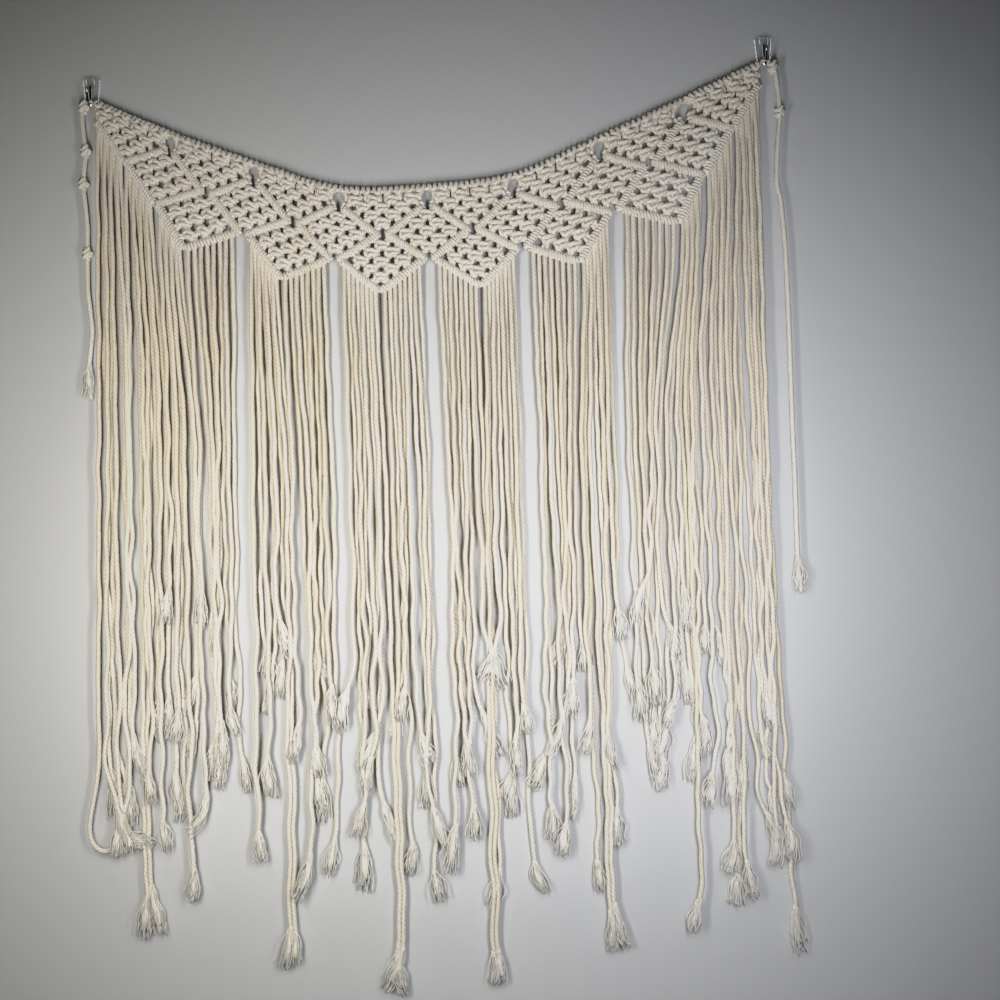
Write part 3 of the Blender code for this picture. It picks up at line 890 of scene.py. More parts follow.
    def head_knots(self) -> bpy.types.Object:
        """Builds the lark's head knots on the mounting cord.

        Returns:
            The piece.
        """
        mesh = CordMesh("head_knots")
        pitch = self.form.section_width / self.heads
        half = np.array(self.head_loop)
        whole = np.vstack([half, half[-2::-1] * (-1.0, 1.0, 1.0)])
        legs = [np.array(self.head_leg) * (side.value, 1.0, 1.0) for side in Side]
        for section in range(self.form.sections):
            for number in range(self.heads):
                offset = pitch * (number + 0.5 - self.heads / 2)
                loop = whole.copy()
                loop[1:-1] += self.chance.normal(0, self.uneven_head, (len(loop) - 2, 3))
                for cord in (loop, *legs):
                    radius = self.head_radius if cord is loop else self.knot_radius * self.lead_share
                    side = self.beside_slits(section + 0.5, offset + cord[:, 0], cord[:, 1])
                    placed = self.form.place(section + 0.5, side, cord[:, 1], cord[:, 2])
                    self.lay_cord(mesh, placed, radius)
        return mesh.build(self.cotton)

    def build(self) -> None:
        """Builds the whole panel in place of its plain solid."""
        pieces = [self.head_knots(), *self.square_knots(), *self.half_hitches()]
        for piece in pieces:
            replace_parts(piece, "knotted_panel")


# ------------------------------------------------------------------------------------ the fringe

@dataclass
class TuftMaker:
    """Frayed ends: a cord's plies come apart into crimped yarns that spread like a small bell."""

    chance: np.random.Generator
    yarns: int = 28
    yarn_radius: float = 0.8
    yarn_taper: float = 0.3  # how much thinner a yarn is at its tip
    yarn_shades: tuple = (0.15, 1.0)  # at its root and its tip
    yarn_sides: int = 3
    length_range: tuple = (0.72, 1.0)  # of a yarn, beside the tuft's length
    rings: int = 12
    neck_radius: float = 1.7
    neck_overlap: float = 4.0  # how far up in the cord the yarns start
    open_at: float = 0.72  # how far along, from 0 to 1, the tuft has opened
    lateness: float = 1.4  # how late it does so
    flare_range: tuple = (0.8, 1.1)  # of its width at the tips
    golden_turn: float = 0.618  # from one yarn to the next, which spreads them evenly all round
    misplaced: float = 0.1  # of a turn
    reach_range: tuple = (0.75, 1.15)  # of a yarn from the middle
    crimp: float = 0.9  # how far a yarn waves to each side
    crimp_range: tuple = (0.6, 1.6)
    crimp_length: float = 20.0
    crimp_length_range: tuple = (0.8, 1.3)
    crimp_rise: float = 3.0  # its waves reach full size over the yarn's length divided by this
    flatness: float = 0.7  # how deep the tuft is for its width
    strays: int = 3  # yarns that stand out further than the rest
    stray_reach: float = 1.3
    body_share: float = 0.26  # of the width, for the close-packed yarns in the middle
    body_length: float = 0.74  # of the tuft's
    body_taper: tuple = (0.92, 6)  # how pointed it ends, and how late it thins
    body_shades: tuple = (0.1, 0.4)
    body_sides: int = 5
    back_y: float = -1.4  # no yarn's middle is nearer to the wall

    def yarn_reach(
        self, number: int, part: np.ndarray, opened: np.ndarray, own: float, width: float,
    ) -> tuple[np.ndarray, np.ndarray]:
        """Finds how far from the tuft's middle one yarn runs.

        Args:
            number: The yarn's number, from the middle outwards.
            part: How far along each ring is, from 0 to 1.
            opened: How wide the tuft is open at each ring, from 0 to about 1.
            own: The yarn's length.
            width: Across the tuft's fullest part.

        Returns:
            How far to the right and how far forward it is at each ring.
        """
        stray = self.chance.uniform(-self.misplaced, self.misplaced)
        turn = math.tau * (number * self.golden_turn + stray)
        spread = width / 2 * math.sqrt((number + 0.5) / self.yarns) * self.chance.uniform(*self.reach_range)
        if number >= self.yarns - self.strays:
            spread *= self.stray_reach
        first = min(self.neck_radius, spread)
        reach = first + (spread - first) * opened
        waves = part * own / (self.crimp_length * self.chance.uniform(*self.crimp_length_range))
        phase, other = self.chance.uniform(0, math.tau, 2)
        curl = self.crimp * self.chance.uniform(*self.crimp_range) * np.minimum(part * self.crimp_rise, 1)
        across = reach * math.cos(turn) + curl * wave(waves, phase)
        forward = self.flatness * (reach * math.sin(turn) + curl * wave(waves, other))
        return across, forward

    def add(
        self, mesh: CordMesh, top: np.ndarray, lean: float, length: float, width: float, bend: float = 0.0,
    ) -> None:
        """Adds one tuft.

        Args:
            mesh: The mesh that takes it.
            top: Where the cord ends and the tuft begins.
            lean: The way it starts, in radians to the right of straight down.
            length: From there to its longest yarn's tip.
            width: Across its fullest part.
            bend: How much further to the right it points at its end.
        """
        part = np.linspace(0, 1, self.rings)
        angle = lean + bend * part
        down = np.column_stack([np.sin(angle), np.zeros(self.rings), -np.cos(angle)])
        side = np.column_stack([np.cos(angle), np.zeros(self.rings), np.sin(angle)])
        line = (np.cumsum(down, axis=0) - down[0]) / (self.rings - 1)
        opening = np.sin(np.minimum(part / self.open_at, 1.0) * math.pi / 2) ** self.lateness
        flare = self.chance.uniform(*self.flare_range)
        opened = opening * (1 + (flare - 1) * part)
        for number in range(self.yarns):
            own = length * self.chance.uniform(*self.length_range)
            across, forward = self.yarn_reach(number, part, opened, own, width)
            path = top - self.neck_overlap * down[0] + line * (own + self.neck_overlap)
            path += across[:, None] * side
            path[:, 1] = np.minimum(path[:, 1] - forward, self.back_y)
            mesh.add(path, self.yarn_radius * (1 - self.yarn_taper * part),
                     shade=np.interp(part, (0, 1), self.yarn_shades), sides=self.yarn_sides)
        full = self.neck_radius + (width * self.body_share - self.neck_radius) * opening
        taper, late = self.body_taper
        mesh.add(top + line * self.body_length * length, full * np.sqrt(1 - taper * part ** late),
                 shade=np.interp(part, (0, 1), self.body_shades), sides=self.body_sides)


@dataclass(frozen=True)
class StrandGroup:
    """One group of the fringe: where its strands hang, and how far below the origin each ends."""

    node: str
    first_x: float
    last_x: float
    ends: tuple
    turned: tuple = ()  # strands whose end turns aside: number, and how far to the right
    pairs: tuple = ()  # the first of each two strands that hang side by side at the end
    twined: tuple = ()  # and of each two that are twisted round each other


@dataclass
class Fringe:
    """The working cords below the panel, in six groups, each strand with its frayed end."""

    form: PanelForm
    cotton: bpy.types.Material
    frayed: bpy.types.Material
    chance: np.random.Generator
    point_spacing: float = 2.15
    settle: float = 220.0  # over this height a strand reaches its own place in the group
    strand_radius: float = CROWN_RADIUS
    radius_range: tuple = (0.94, 1.04)
    lumps: float = 0.05  # how unevenly a strand is spun
    thinned_end: tuple = (0.96, 0.86, 0.66)  # of its radius, at its last points
    first_diamond: float = 1.5  # the middle of the first low diamond
    diamond_edge: tuple = ((39.0, 75.0), (2.2, 103.0))  # where strands leave each side of such a diamond
    strands_to_run: int = 8
    start_drop: float = 2.0  # below the middle of a run's hitches
    age_range: tuple = (0.4, 1.0)  # from the least yellow strand to the most: its own tone, which also scales its painted warm light
    # How far along a strand, and how much painted warm bounce light its tint gives there: most in the
    # middle of the fringe, least at its end.
    painted_warmth_along: tuple = ((0.0, 0.2, 0.65, 1.0), (0.6, 1.0, 1.0, 0.3))
    tuft_length: float = 37.0
    tuft_length_range: tuple = (0.72, 1.3)
    tuft_width: float = 14.0
    tuft_width_range: tuple = (0.75, 1.2)
    tuft_lean: float = 0.12  # radians, how far it may point aside from its strand
    tuft_bend: float = 0.25  # radians, how far it may bend
    straightening: float = 0.4  # the share of its lean that it bends back
    end_steps: int = 4  # a tuft starts the way that its strand runs over this many points
    layer_depth: float = 3.2  # strands hang in two layers, this far from the middle
    layer_range: tuple = (0.8, 1.2)
    layer_height: float = 50.0  # over this height they part into their layers
    hook_height: float = 42.0  # over this height a strand's end turns aside
    hook_reach: float = 1.4  # how far one does so that isn't named below
    meet_height: float = 560.0  # below the origin, where two strands start to hang together
    meet_reach: float = 110.0  # and over this height they come together
    meet_share: float = 0.9  # how close their middles come, for each strand's radius
    twine_length: float = 46.0  # along a twined pair, for one turn
    # Each wave of the groups: its size, strands to a wave and height of a wave.
    group_waves: tuple = ((2.2, 6.5, 2600.0), (1.7, 4.2, 1500.0), (0.9, 2.7, 760.0))
    group_wave_range: tuple = (0.8, 1.25)
    tied_height: float = 30.0  # down to here below the panel those waves don't move a strand
    freeing_height: float = 260.0  # and over this height it becomes free to follow them
    # Each wave of one strand: its height and its size.
    strand_waves: tuple = ((190.0, 1.0), (92.0, 0.85), (44.0, 0.48))
    wave_height_range: tuple = (0.75, 1.3)
    wave_size_range: tuple = (0.3, 1.3)
    wave_start: float = 1.2  # of its height, over which a wave grows to its full size
    lower_waves: tuple = ((0.45, 0.85), (0.6, 1.7))  # how far down a strand, and how large waves are there
    depth_share: float = 0.4  # of the waves' size, towards the front and the back
    # The first strand's end is drawn up in a loop. Over the named heights below the origin the strand
    # moves to the loop's place, and it runs into the loop from a little above it.
    loop_side: tuple = (400.0, 600.0)
    loop_lead: float = 25.0
    loop_forward: float = 2.0
    loop: tuple = ((6.4, -655.0), (5.5, -680.0), (2.5, -703.0), (-2.6, -730.0), (-3.4, -744.0),
                   (0.5, -756.0), (9.0, -762.5), (18.0, -761.0), (25.0, -754.0))

    groups = (
        StrandGroup("fringe_1", 8.5, 141.0, (
            763, 735, 758, 742, 769, 750, 772, 742, 700, 851, 849, 690, 720, 663, 768, 655,
            549, 728, 662, 740, 816, 679, 552, 640, 756, 700, 710, 583, 690, 632, 657, 715),
            turned=((1, 3), (2, 9), (3, 8), (4, 5), (5, -3), (6, -6), (16, -4), (22, 3), (28, 6), (31, 5)),
            pairs=(9,)),
        StrandGroup("fringe_2", 163.0, 238.0, (
            779, 604, 720, 640, 584, 624, 884, 880, 686, 609, 819, 734, 700, 746, 652, 796),
            turned=((1, 4), (3, -6), (5, -5), (9, 6)), pairs=(6,)),
        StrandGroup("fringe_3", 256.5, 334.0, (
            659, 813, 760, 640, 720, 773, 700, 913, 910, 668, 649, 798, 690, 735, 775, 825),
            turned=((0, -6), (4, -7), (6, -8), (9, -9), (12, 4)), pairs=(7,)),
        StrandGroup("fringe_4", 353.0, 427.0, (
            798, 715, 703, 650, 765, 690, 622, 905, 900, 832, 613, 747, 705, 730, 663, 818),
            turned=((2, 4), (5, 6), (6, 5), (10, -5), (13, -11)), pairs=(7,)),
        StrandGroup("fringe_5", 447.0, 522.0, (
            767, 720, 782, 599, 690, 749, 650, 604, 687, 819, 876, 872, 700, 776, 575, 634),
            turned=((0, 4), (1, -9), (4, -6), (14, 5), (15, 4)), pairs=(10,)),
        StrandGroup("fringe_6", 536.5, 678.0, (
            655, 712, 640, 690, 563, 724, 600, 701, 660, 640, 570, 668, 859, 715, 690, 592,
            739, 603, 720, 740, 803, 834, 828, 735, 780, 700, 668, 760, 797, 745, 792, 882),
            turned=((4, -13), (6, 9), (8, -4), (16, -6), (21, -6), (24, 8), (27, 7), (29, 8), (30, 6)),
            twined=(18,)),
    )

    def run_starts(self, middle: float, side: Side, run: tuple) -> list[np.ndarray]:
        """Lists where the strands leave one run of half hitches.

        Args:
            middle: The section line or the diamond's middle that the run belongs to.
            side: Its side of that line.
            run: The run's two ends, each sideways and down from the top edge.

        Returns:
            A point for each strand, from left to right.
        """
        parts = (np.arange(self.strands_to_run) + 0.5) / self.strands_to_run
        offset, drop = (first + (last - first) * parts for first, last in zip(*run))
        points = self.form.place(middle, side.value * offset, drop + self.start_drop)
        return list(points[np.argsort(points[:, 0])])

    def group_starts(self, number: int) -> list[np.ndarray]:
        """Lists where the strands of one group leave the panel, from left to right.

        Args:
            number: The group, from 0 to 5.

        Returns:
            A point for each strand.
        """
        middle = self.first_diamond + number
        starts = [start for side in Side for start in self.run_starts(middle, side, self.diamond_edge)]
        if number == 0:
            starts = [*self.run_starts(0, Side.RIGHT, END_OUTLINE.upper),
                      *self.run_starts(1, Side.LEFT, END_OUTLINE.middle), *starts]
        if number == len(self.groups) - 1:
            last = self.form.sections
            starts = [*starts, *self.run_starts(last - 1, Side.RIGHT, END_OUTLINE.middle),
                      *self.run_starts(last, Side.LEFT, END_OUTLINE.upper)]
        return starts

    def group_sway(self) -> np.ndarray:
        """Draws how the strands of one group bunch together lower down.

        Returns:
            For each wave, its size, strands to a wave, height of a wave and phase.
        """
        waves = np.array(self.group_waves)
        spread = self.chance.uniform(*self.group_wave_range, waves.shape)
        return np.column_stack([waves * spread, self.chance.uniform(0, math.tau, len(waves))])

    def strand_path(
        self, start: np.ndarray, x: float, neck: float, index: int, sway: np.ndarray, hook: float,
    ) -> np.ndarray:
        """Finds the line of one strand, which wavers more the further it hangs.

        Args:
            start: Where it leaves the panel.
            x: Its own place in the group.
            neck: How far below the origin its tuft begins.
            index: Its number in the group.
            sway: How the group bunches together.
            hook: How far to the right its end turns aside.

        Returns:
            The points from the panel to the tuft.
        """
        fall = start[2] + neck
        below = np.arange(0, fall, self.point_spacing)
        free = np.clip((below - self.tied_height) / self.freeing_height, 0, 1)
        across = np.zeros_like(below)
        for size, strands, height, phase in sway:
            across += size * free * wave(index / strands + below / height, phase)
        depth = np.zeros_like(below)
        lower = np.interp(below / fall, *self.lower_waves)
        for height, size in self.strand_waves:
            reach = size * lower * np.clip(below / (height * self.wave_start), 0, 1)
            own = height * self.chance.uniform(*self.wave_height_range)
            phase, other = self.chance.uniform(0, math.tau, 2)
            across += reach * self.chance.uniform(*self.wave_size_range) * wave(below / own, phase)
            depth += self.depth_share * reach * wave(below / own, other)
        across += hook * np.clip((below - fall) / self.hook_height + 1, 0, 1) ** 2
        layer = self.layer_depth * (1 if index % 2 else -1) * self.chance.uniform(*self.layer_range)
        return np.column_stack([
            start[0] + (x - start[0]) * eased(below / self.settle) + across,
            CLOTH_Y + layer * np.clip(below / self.layer_height, 0, 1) + depth,
            start[2] - below,
        ])

    def join_pair(self, left: np.ndarray, right: np.ndarray, twine: bool) -> None:
        """Brings the lower parts of two strands together, in place.

        Args:
            left: The points of the strand on the left.
            right: The points of the one on the right.
            twine: Whether they are twisted round each other.
        """
        middle = (np.interp(-right[:, 2], -left[:, 2], left[:, 0]) + right[:, 0]) / 2
        for path, side in ((left, Side.LEFT), (right, Side.RIGHT)):
            share = eased((-path[:, 2] - self.meet_height) / self.meet_reach)
            turn = math.tau * path[:, 2] / self.twine_length if twine else np.zeros(len(path))
            reach = side.value * self.strand_radius * self.meet_share
            line = np.interp(-path[:, 2], -right[:, 2], middle)
            path[:, 0] += share * (line + reach * np.cos(turn) - path[:, 0])
            path[:, 1] += share * (CLOTH_Y + reach * np.sin(turn) - path[:, 1])

    def looped(self, path: np.ndarray) -> np.ndarray:
        """Draws a strand's end up in the loop.

        Args:
            path: The strand's points, straight down.

        Returns:
            Its points down to the loop and round it.
        """
        loop_x, loop_z = self.loop[0]
        upper = path[path[:, 2] > loop_z + self.loop_lead]
        upper[:, 0] += (loop_x - upper[:, 0]) * np.interp(-upper[:, 2], self.loop_side, (0, 1))
        ring = [(x, CLOTH_Y - self.loop_forward, z) for x, z in self.loop]
        return np.vstack([upper[:-1], smooth_path([upper[-1], *ring], self.point_spacing)])

    def paths(self, number: int, group: StrandGroup, lengths: np.ndarray) -> list[np.ndarray]:
        """Finds the lines of one group's strands.

        Args:
            number: The group, from 0 to 5.
            group: Its places and ends.
            lengths: The length of each strand's tuft.

        Returns:
            The points of each strand, from the panel to its tuft.
        """
        places = np.linspace(group.first_x, group.last_x, len(group.ends))
        sway = self.group_sway()
        hooks = dict(group.turned)
        paths = []
        for index, (start, x, end) in enumerate(zip(self.group_starts(number), places, group.ends)):
            hook = hooks.get(index, self.chance.normal(0, self.hook_reach))
            paths.append(self.strand_path(start, x, end - lengths[index], index, sway, hook))
        for first in group.pairs + group.twined:
            self.join_pair(paths[first], paths[first + 1], first in group.twined)
        if number == 0:
            paths[0] = self.looped(paths[0])
        return paths

    def build_group(self, number: int, group: StrandGroup) -> None:
        """Builds one group's strands and tufts in place of its plain comb.

        Args:
            number: The group, from 0 to 5.
            group: Its places and ends.
        """
        strands = CordMesh(f"strands_{number + 1}")
        tufts = CordMesh(f"tufts_{number + 1}", lay=YARN_LAY)
        maker = TuftMaker(self.chance)
        lengths = self.tuft_length * self.chance.uniform(*self.tuft_length_range, len(group.ends))
        for path, length in zip(self.paths(number, group, lengths), lengths):
            radius = np.full(len(path), self.strand_radius * self.chance.uniform(*self.radius_range))
            radius[-len(self.thinned_end):] *= self.thinned_end
            part = np.linspace(0, 1, len(path))
            # painted warm bounce light along the strand, scaled by the strand's own tone
            shade = self.chance.uniform(*self.age_range) * np.interp(part, *self.painted_warmth_along)
            strands.add(path, radius * (1 + self.chance.normal(0, self.lumps, len(path))),
                        shade=shade, start=self.chance.uniform(0, LAY_SHIFT))
            way = path[-1] - path[-1 - self.end_steps]
            lean = math.atan2(way[0], -way[2]) + self.chance.normal(0, self.tuft_lean)
            width = self.tuft_width * self.chance.uniform(*self.tuft_width_range)
            bend = self.chance.normal(0, self.tuft_bend) - self.straightening * lean
            maker.add(tufts, path[-1], lean, length, width, bend)
        for piece in (strands.build(self.cotton), tufts.build(self.frayed)):
            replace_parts(piece, group.node)

    def build(self) -> None:
        """Builds every group."""
        for number, group in enumerate(self.groups):
            self.build_group(number, group)


# ------------------------------------------------------------------------------------ mounting cord

@dataclass
class MountingCord:
    """The cord that the panel is tied on, from one hook's crook to the other's."""

    form: PanelForm
    cotton: bpy.types.Material
    # How it bends over a crook, from outside to inside: inwards and up from the crook's middle.
    bend: tuple = ((-4.2, -3.0), (-3.2, -1.8), (-1.6, -0.3), (0.0, 0.4), (2.0, -0.2), (5.0, -2.2))
    drop: float = 2.3  # of its middle, below the panel's top edge
    steps: int = 8  # along each section
    point_spacing: float = 2.0
    shade: float = 0.2

    def crook_points(self, hook: tuple, inwards: Side) -> list[tuple]:
        """Lists the points where the cord bends over a hook's crook, from outside to inside."""
        return [(hook[0] + inwards.value * reach, CLOTH_Y, hook[1] + CROOK_Z + rise)
                for reach, rise in self.bend]

    def build(self) -> None:
        """Builds the cord in place of its plain tube."""
        count = self.form.sections * self.steps
        route = np.vstack([
            self.crook_points(LEFT_HOOK, Side.RIGHT),
            self.form.place(np.arange(1, count) / self.steps, 0.0, self.drop),
            self.crook_points(RIGHT_HOOK, Side.LEFT)[::-1],
        ])
        mesh = CordMesh("mounting_cord_lay")
        mesh.add(smooth_path(route, self.point_spacing), CORD_WIDTH / 2, shade=self.shade)
        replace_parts(mesh.build(self.cotton), "mounting_cord")


@dataclass
class Tail:
    """A free end of the mounting cord, with its knots and its frayed end."""

    name: str
    route: tuple  # x and z of each point, from the hook down
    knots: tuple  # height of each knot
    cotton: bpy.types.Material
    frayed: bpy.types.Material
    chance: np.random.Generator
    point_spacing: float = 2.0
    shade: float = 0.15
    core: float = 0.8  # how thick the cord still is inside its frayed end, beside the rest
    tuft_length: float = 32.0
    tuft_width: float = 12.0
    knot_turns: float = 1.7
    knot_points: int = 34
    knot_start: float = 0.6  # radians round the tail, from straight to the right
    knot_reach: float = 3.6  # from the tail's middle to the middle of the cord round it
    knot_depth: float = 0.85  # of that reach, towards the front and the back
    knot_pinch: float = 0.25  # how much closer the knot's ends lie than its middle
    knot_height: float = 8.0
    knot_rise: float = 1.6  # how far its cord goes up and down, twice a turn
    knot_radius: float = 2.3
    knot_shade: float = 0.1

    def knot(self, line: np.ndarray, height: float) -> bpy.types.Object:
        """Lays one knot: a length of cord turned round the tail.

        Args:
            line: The tail's middle.
            height: Where on it the knot is.

        Returns:
            The knot.
        """
        centre = line[np.argmin(np.abs(line[:, 2] - height))]
        part = np.linspace(0, 1, self.knot_points)
        turn = self.knot_start + math.tau * self.knot_turns * part
        rise = self.knot_rise * np.cos(2 * (turn - self.knot_start))
        reach = self.knot_reach * (1 - self.knot_pinch * (1 - np.sin(math.pi * part)))
        path = np.column_stack([
            centre[0] + reach * np.cos(turn),
            centre[1] - self.knot_depth * reach * np.sin(turn),
            centre[2] + self.knot_height * (0.5 - part) + rise,
        ])
        mesh = CordMesh(f"{self.name}_knot_{abs(int(height))}")
        mesh.add(path, self.knot_radius, shade=self.knot_shade)
        return mesh.build(self.cotton)

    def build(self) -> None:
        """Builds the tail, its knots and its frayed end, with the cord in place of its plain tube."""
        line = smooth_path([(x, CLOTH_Y, z) for x, z in self.route], self.point_spacing)
        twisted = line[:, 2] >= self.route[-1][1] + self.tuft_length
        mesh = CordMesh(f"{self.name}_cord")
        mesh.add(line, CROWN_RADIUS * np.where(twisted, 1.0, self.core), shade=self.shade)
        cord = mesh.build(self.cotton)
        knots = [self.knot(line, height) for height in self.knots]
        tufts = CordMesh(f"{self.name}_tuft", lay=YARN_LAY)
        TuftMaker(self.chance).add(tufts, line[twisted][-1], 0.0, self.tuft_length, self.tuft_width)
        tuft = tufts.build(self.frayed)
        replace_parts(cord, self.name)


# ------------------------------------------------------------------------------------ wall hooks

@dataclass
class WallHook:
    """A small hook stuck to the wall: a clear plate that stays as it is, and its bent wire."""

    name: str
    place: tuple
    clear: bpy.types.Material
    plated: bpy.types.Material
    wire_radius: float = 1.1
    crook_radius: float = 3.4
    crook_points: int = 17
    housing_bottom: float = 2.6
    back_leg: float = 8.0  # straight down from there
    # The front leg above the crook: how far each point leans away from the wall, and its height.
    front_leg: tuple = ((1.8, 6.6), (4.5, 11.0))
    tip: tuple = (0.85, 0.45)  # of its radius, at its last points
    point_spacing: float = 0.7
    sides: int = 12

    def build(self) -> None:
        """Gives the plate its plastic and builds the wire with a round tip."""
        plate = bpy.data.objects[f"{self.name}_plate"]
        plate.data.materials.clear()
        plate.data.materials.append(self.clear)
        x, z = self.place
        crook_z = z + CROOK_Z
        back_y, front_y = CLOTH_Y + self.crook_radius, CLOTH_Y - self.crook_radius
        back = [(x, back_y, z + self.housing_bottom - fall) for fall in (0.0, self.back_leg)]
        crook = [(x, CLOTH_Y + self.crook_radius * math.cos(angle),
                  crook_z - self.crook_radius * math.sin(angle))
                 for angle in np.linspace(0, math.pi, self.crook_points)]
        front = [(x, front_y - reach, crook_z + rise) for reach, rise in self.front_leg]
        path = smooth_path([*back, *crook, *front], self.point_spacing)
        radius = np.full(len(path), self.wire_radius)
        radius[-len(self.tip):] *= self.tip
        mesh = CordMesh(f"{self.name}_bent_wire", sides=self.sides)
        mesh.add(path, radius)
        wire = mesh.build(self.plated)
        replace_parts(wire, f"{self.name}_wire")


# ------------------------------------------------------------------------------------ the studio

class LampReach(Enum):
    """What a lamp that is limited at one stage surface lights."""

    ALL_BUT_SURFACE = "EXCLUDE"
    SURFACE_ALONE = "INCLUDE"


@dataclass(frozen=True)
class SoftLamp:
    """A soft rectangular lamp."""

    name: str
    place: tuple
    aim: tuple
    size: tuple  # its width and height
    power: float  # in watts
    colour: str = "#ffffff"
    spread: float = 150.0

    def build(self) -> bpy.types.Object:
        """Adds the lamp.

        Returns:
            The lamp, linked to the scene.
        """
        data = bpy.data.lights.new(self.name, "AREA")
        data.shape = "RECTANGLE"
        data.size, data.size_y = (side * MM for side in self.size)
        data.energy = self.power
        data.color = linear(self.colour)[:3]
        data.spread = math.radians(self.spread)
        lamp = bpy.data.objects.new(self.name, data)
        lamp.location = Vector(self.place) * MM
        lamp.rotation_euler = (Vector(self.aim) - Vector(self.place)).to_track_quat("-Z", "Y").to_euler()
        lamp.visible_camera = False
        bpy.context.scene.collection.objects.link(lamp)
        return lamp


@dataclass
class Studio:
    """Camera, soft lights, a pale wall behind the hanging and a pale floor below it."""

    camera_place: tuple = (405.2, -1000.0, -482.9)
    pitch: float = 3.0
    roll: float = 1.6
    lens: float = 36.0
    sensor: float = 36.0
    left_lamp: SoftLamp = SoftLamp("left_lamp", (140.0, -560.0, -508.0), (140.0, 0.0, -508.0),
                                   (120.0, 430.0), 1.95, "#fffcf4")
    right_lamp: SoftLamp = SoftLamp("right_lamp", (550.0, -560.0, -508.0), (550.0, 0.0, -508.0),
                                    (120.0, 430.0), 1.95, "#f8f9ff")
    fill_lamp: SoftLamp = SoftLamp("fill_lamp", (345.0, -2600.0, 400.0), (350.0, 0.0, -400.0),
                                   (1800.0, 1800.0), 0.25)
    back_lamp: SoftLamp = SoftLamp("back_lamp", (345.0, 1800.0, 200.0), (350.0, 0.0, -450.0),
                                   (1600.0, 1600.0), 26.0)
    floor_lamp: SoftLamp = SoftLamp("floor_lamp", (345.0, -300.0, 5000.0), (345.0, -300.0, -1250.0),
                                    (5000.0, 5000.0), 70.0)
    room_colour: str = "#b9bcc0"
    room_light: float = 0.04
    room_brightness: float = 1.0
    wall_colour: str = "#d1d2d3"
    wall_y: float = 1.0
    wall_left: float = -360.0
    wall_right: float = 1060.0
    wall_top: float = 240.0
    floor_colour: str = "#d9d9d6"
    floor_z: float = -1250.0
    floor_reach: float = 3500.0
    # Linear light, and how light the picture shows it.
    tones: tuple = ((0.0, 0.0), (0.05, 0.025), (0.1, 0.065), (0.2, 0.185), (0.45, 0.455), (0.62, 0.65),
                    (0.82, 0.76), (1.0, 0.84))

    def add_camera(self) -> None:
        """Sets the camera where the photograph was taken from."""
        data = bpy.data.cameras.new("camera")
        data.lens = self.lens
        data.sensor_width = self.sensor
        camera = bpy.data.objects.new("camera", data)
        bpy.context.scene.collection.objects.link(camera)
        level = 90  # from straight down, where a new camera looks
        tilt = Matrix.Rotation(math.radians(level + self.pitch), 4, "X")
        turn = Matrix.Rotation(math.radians(-self.roll), 4, "Z")
        camera.matrix_world = Matrix.Translation(Vector(self.camera_place) * MM) @ tilt @ turn
        bpy.context.scene.camera = camera

    def plain_material(self, name: str, colour: str) -> bpy.types.Material:
        """Makes a matte painted surface that is clear from behind.

        Args:
            name: The material's name.
            colour: Its colour.

        Returns:
            The material.
        """
        material, tree = blank_material(name)
        paint = add_node(tree, "ShaderNodeBsdfDiffuse", {"Color": linear(colour)})
        clear = add_node(tree, "ShaderNodeBsdfTransparent")
        side = add_node(tree, "ShaderNodeNewGeometry")
        mix = add_node(tree, "ShaderNodeMixShader",
                       links={0: side.outputs["Backfacing"], 1: paint.outputs[0], 2: clear.outputs[0]})
        add_node(tree, "ShaderNodeOutputMaterial", links={"Surface": mix.outputs[0]})
        return material

    def add_sheet(self, name: str, corners: list, colour: str) -> bpy.types.Object:
        """Adds one flat stage surface.

        Args:
            name: Its name.
            corners: Its corners, so that they run anticlockwise seen from its painted side.
            colour: Its colour.

        Returns:
            The surface.
        """
        mesh = bpy.data.meshes.new(name)
        mesh.from_pydata([tuple(value * MM for value in corner) for corner in corners], [], [(0, 1, 2, 3)])
        mesh.materials.append(self.plain_material(name, colour))
        sheet = bpy.data.objects.new(name, mesh)
        bpy.context.scene.collection.objects.link(sheet)
        return sheet

    def add_stage(self) -> list[bpy.types.Object]:
        """Adds the wall and the floor.

        Returns:
            Both.
        """
        left, right, top, low = self.wall_left, self.wall_right, self.wall_top, self.floor_z
        wall = [(x, self.wall_y, z) for x, z in ((left, low), (right, low), (right, top), (left, top))]
        floor = [(x * self.floor_reach, y * self.floor_reach, low)
                 for x, y in ((-1, -1), (1, -1), (1, 1), (-1, 1))]
        return [self.add_sheet("backdrop", wall, self.wall_colour),
                self.add_sheet("floor", floor, self.floor_colour)]

    def add_lights(self, stage: list[bpy.types.Object]) -> None:
        """Adds the two soft lamps of the picture, and the lamps that show the back and the floor.

        Args:
            stage: The wall and the floor.
        """
        wall, floor = stage
        for lamp in (self.left_lamp, self.right_lamp, self.fill_lamp):
            lamp.build()
        self.limit_lamp(self.back_lamp.build(), wall, LampReach.ALL_BUT_SURFACE)
        self.limit_lamp(self.floor_lamp.build(), floor, LampReach.SURFACE_ALONE)

    def limit_lamp(self, lamp: bpy.types.Object, surface: bpy.types.Object, reach: LampReach) -> None:
        """Keeps a lamp's light off one stage surface or to it alone, with no light thrown back from there.

        Args:
            lamp: The light.
            surface: The stage surface.
            reach: Whether the light keeps off it or reaches nothing else.
        """
        group = bpy.data.collections.new(f"{lamp.name}_reach")
        group.objects.link(surface)
        group.collection_objects[0].light_linking.link_state = reach.value
        lamp.light_linking.receiver_collection = group
        lamp.light_linking.blocker_collection = group
        lamp.data.cycles.max_bounces = 0

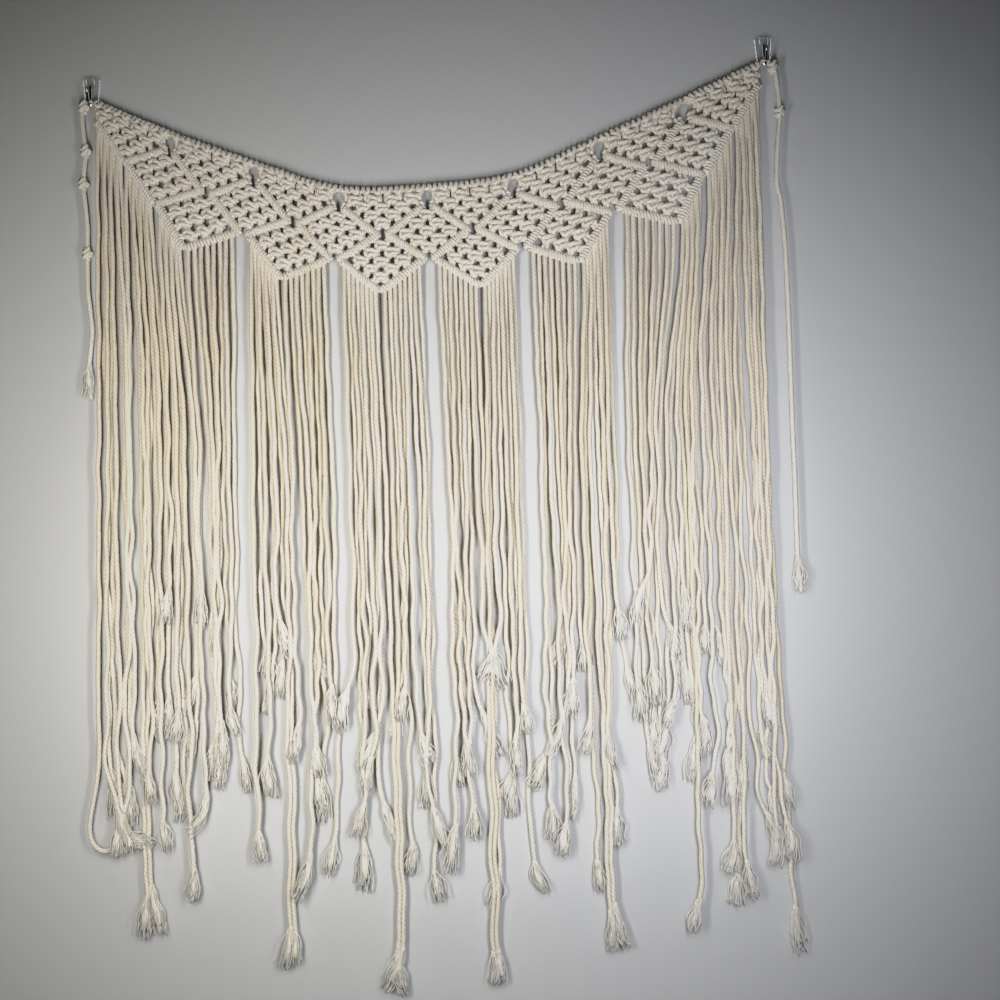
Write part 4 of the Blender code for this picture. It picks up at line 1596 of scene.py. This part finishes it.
    def add_room(self) -> None:
        """Adds the room beyond the stage: pale to look at, and dim as a light."""
        world = bpy.data.worlds.new("room")
        world.use_nodes = True
        tree = world.node_tree
        tree.nodes.clear()
        rays = add_node(tree, "ShaderNodeLightPath")
        dim, pale = (
            add_node(tree, "ShaderNodeBackground",
                     {"Color": linear(self.room_colour), "Strength": strength})
            for strength in (self.room_light, self.room_brightness)
        )
        mix = add_node(tree, "ShaderNodeMixShader",
                       links={0: rays.outputs["Is Camera Ray"], 1: dim.outputs[0], 2: pale.outputs[0]})
        add_node(tree, "ShaderNodeOutputWorld", links={"Surface": mix.outputs[0]})
        bpy.context.scene.world = world

    def build(self) -> None:
        """Builds the studio and sets how the picture shows it."""
        self.add_camera()
        self.add_room()
        self.add_lights(self.add_stage())
        self.set_picture()

    def set_picture(self) -> None:
        """Sets plain colours for the picture, and a camera's deeper shadows and softer highlights."""
        view = bpy.context.scene.view_settings
        view.view_transform = "Standard"
        view.use_curve_mapping = True
        tone = view.curve_mapping.curves[3]  # the one that shapes all three colours
        for light, shown in self.tones[1:-1]:
            tone.points.new(light, shown)
        tone.points[-1].location = self.tones[-1]
        view.curve_mapping.update()


# ------------------------------------------------------------------------------------ the whole

SEED = 7
LEFT_KNOTS = (-21, -67, -99, -172)  # height of each knot on the left tail
RIGHT_KNOTS = (2, -45)
# x and z of each point of the left tail and then of the right one, from the hook down.
LEFT_ROUTE = (
    (-3.9, -17.2), (-5.5, -19.4), (-6.8, -23.2), (-7.5, -30), (-7.5, -38), (-6.0, -52), (-4.2, -67),
    (-6.3, -88), (-6.8, -99), (-6.0, -112), (-3.2, -142), (-3.0, -172), (-3.2, -190), (-2.6, -212),
    (0.8, -242), (1.0, -256), (-1.8, -284), (-1.2, -300), (0.0, -319),
)
RIGHT_ROUTE = (
    (690.7, 6.3), (692.8, 4.0), (695.2, 0.2), (697.0, -5), (699.0, -26), (699.4, -50), (696.2, -80),
    (693.8, -111), (694.6, -125), (697.0, -140), (699.4, -190), (699.6, -265), (698.8, -360),
    (698.9, -410), (698.2, -490), (699.0, -512), (700.0, -530),
)


def main() -> None:
    """Builds the studio, then each sub-assembly in the order in which it is made."""
    logging.basicConfig(level=logging.INFO, format="%(message)s")
    chance = np.random.default_rng(SEED)
    cotton = TwistedCotton().material()
    frayed = FrayedCotton().material()
    clear = ClearPolystyrene().material()
    plated = PlatedWire().material()
    form = PanelForm()
    Studio().build()
    Tail("tail_left", LEFT_ROUTE, LEFT_KNOTS, cotton, frayed, chance).build()
    Tail("tail_right", RIGHT_ROUTE, RIGHT_KNOTS, cotton, frayed, chance).build()
    MountingCord(form, cotton).build()
    KnottedPanel(form, cotton, chance).build()
    Fringe(form, cotton, frayed, chance).build()
    WallHook("hook_left", LEFT_HOOK, clear, plated).build()
    WallHook("hook_right", RIGHT_HOOK, clear, plated).build()


if __name__ == "__main__":
    main()
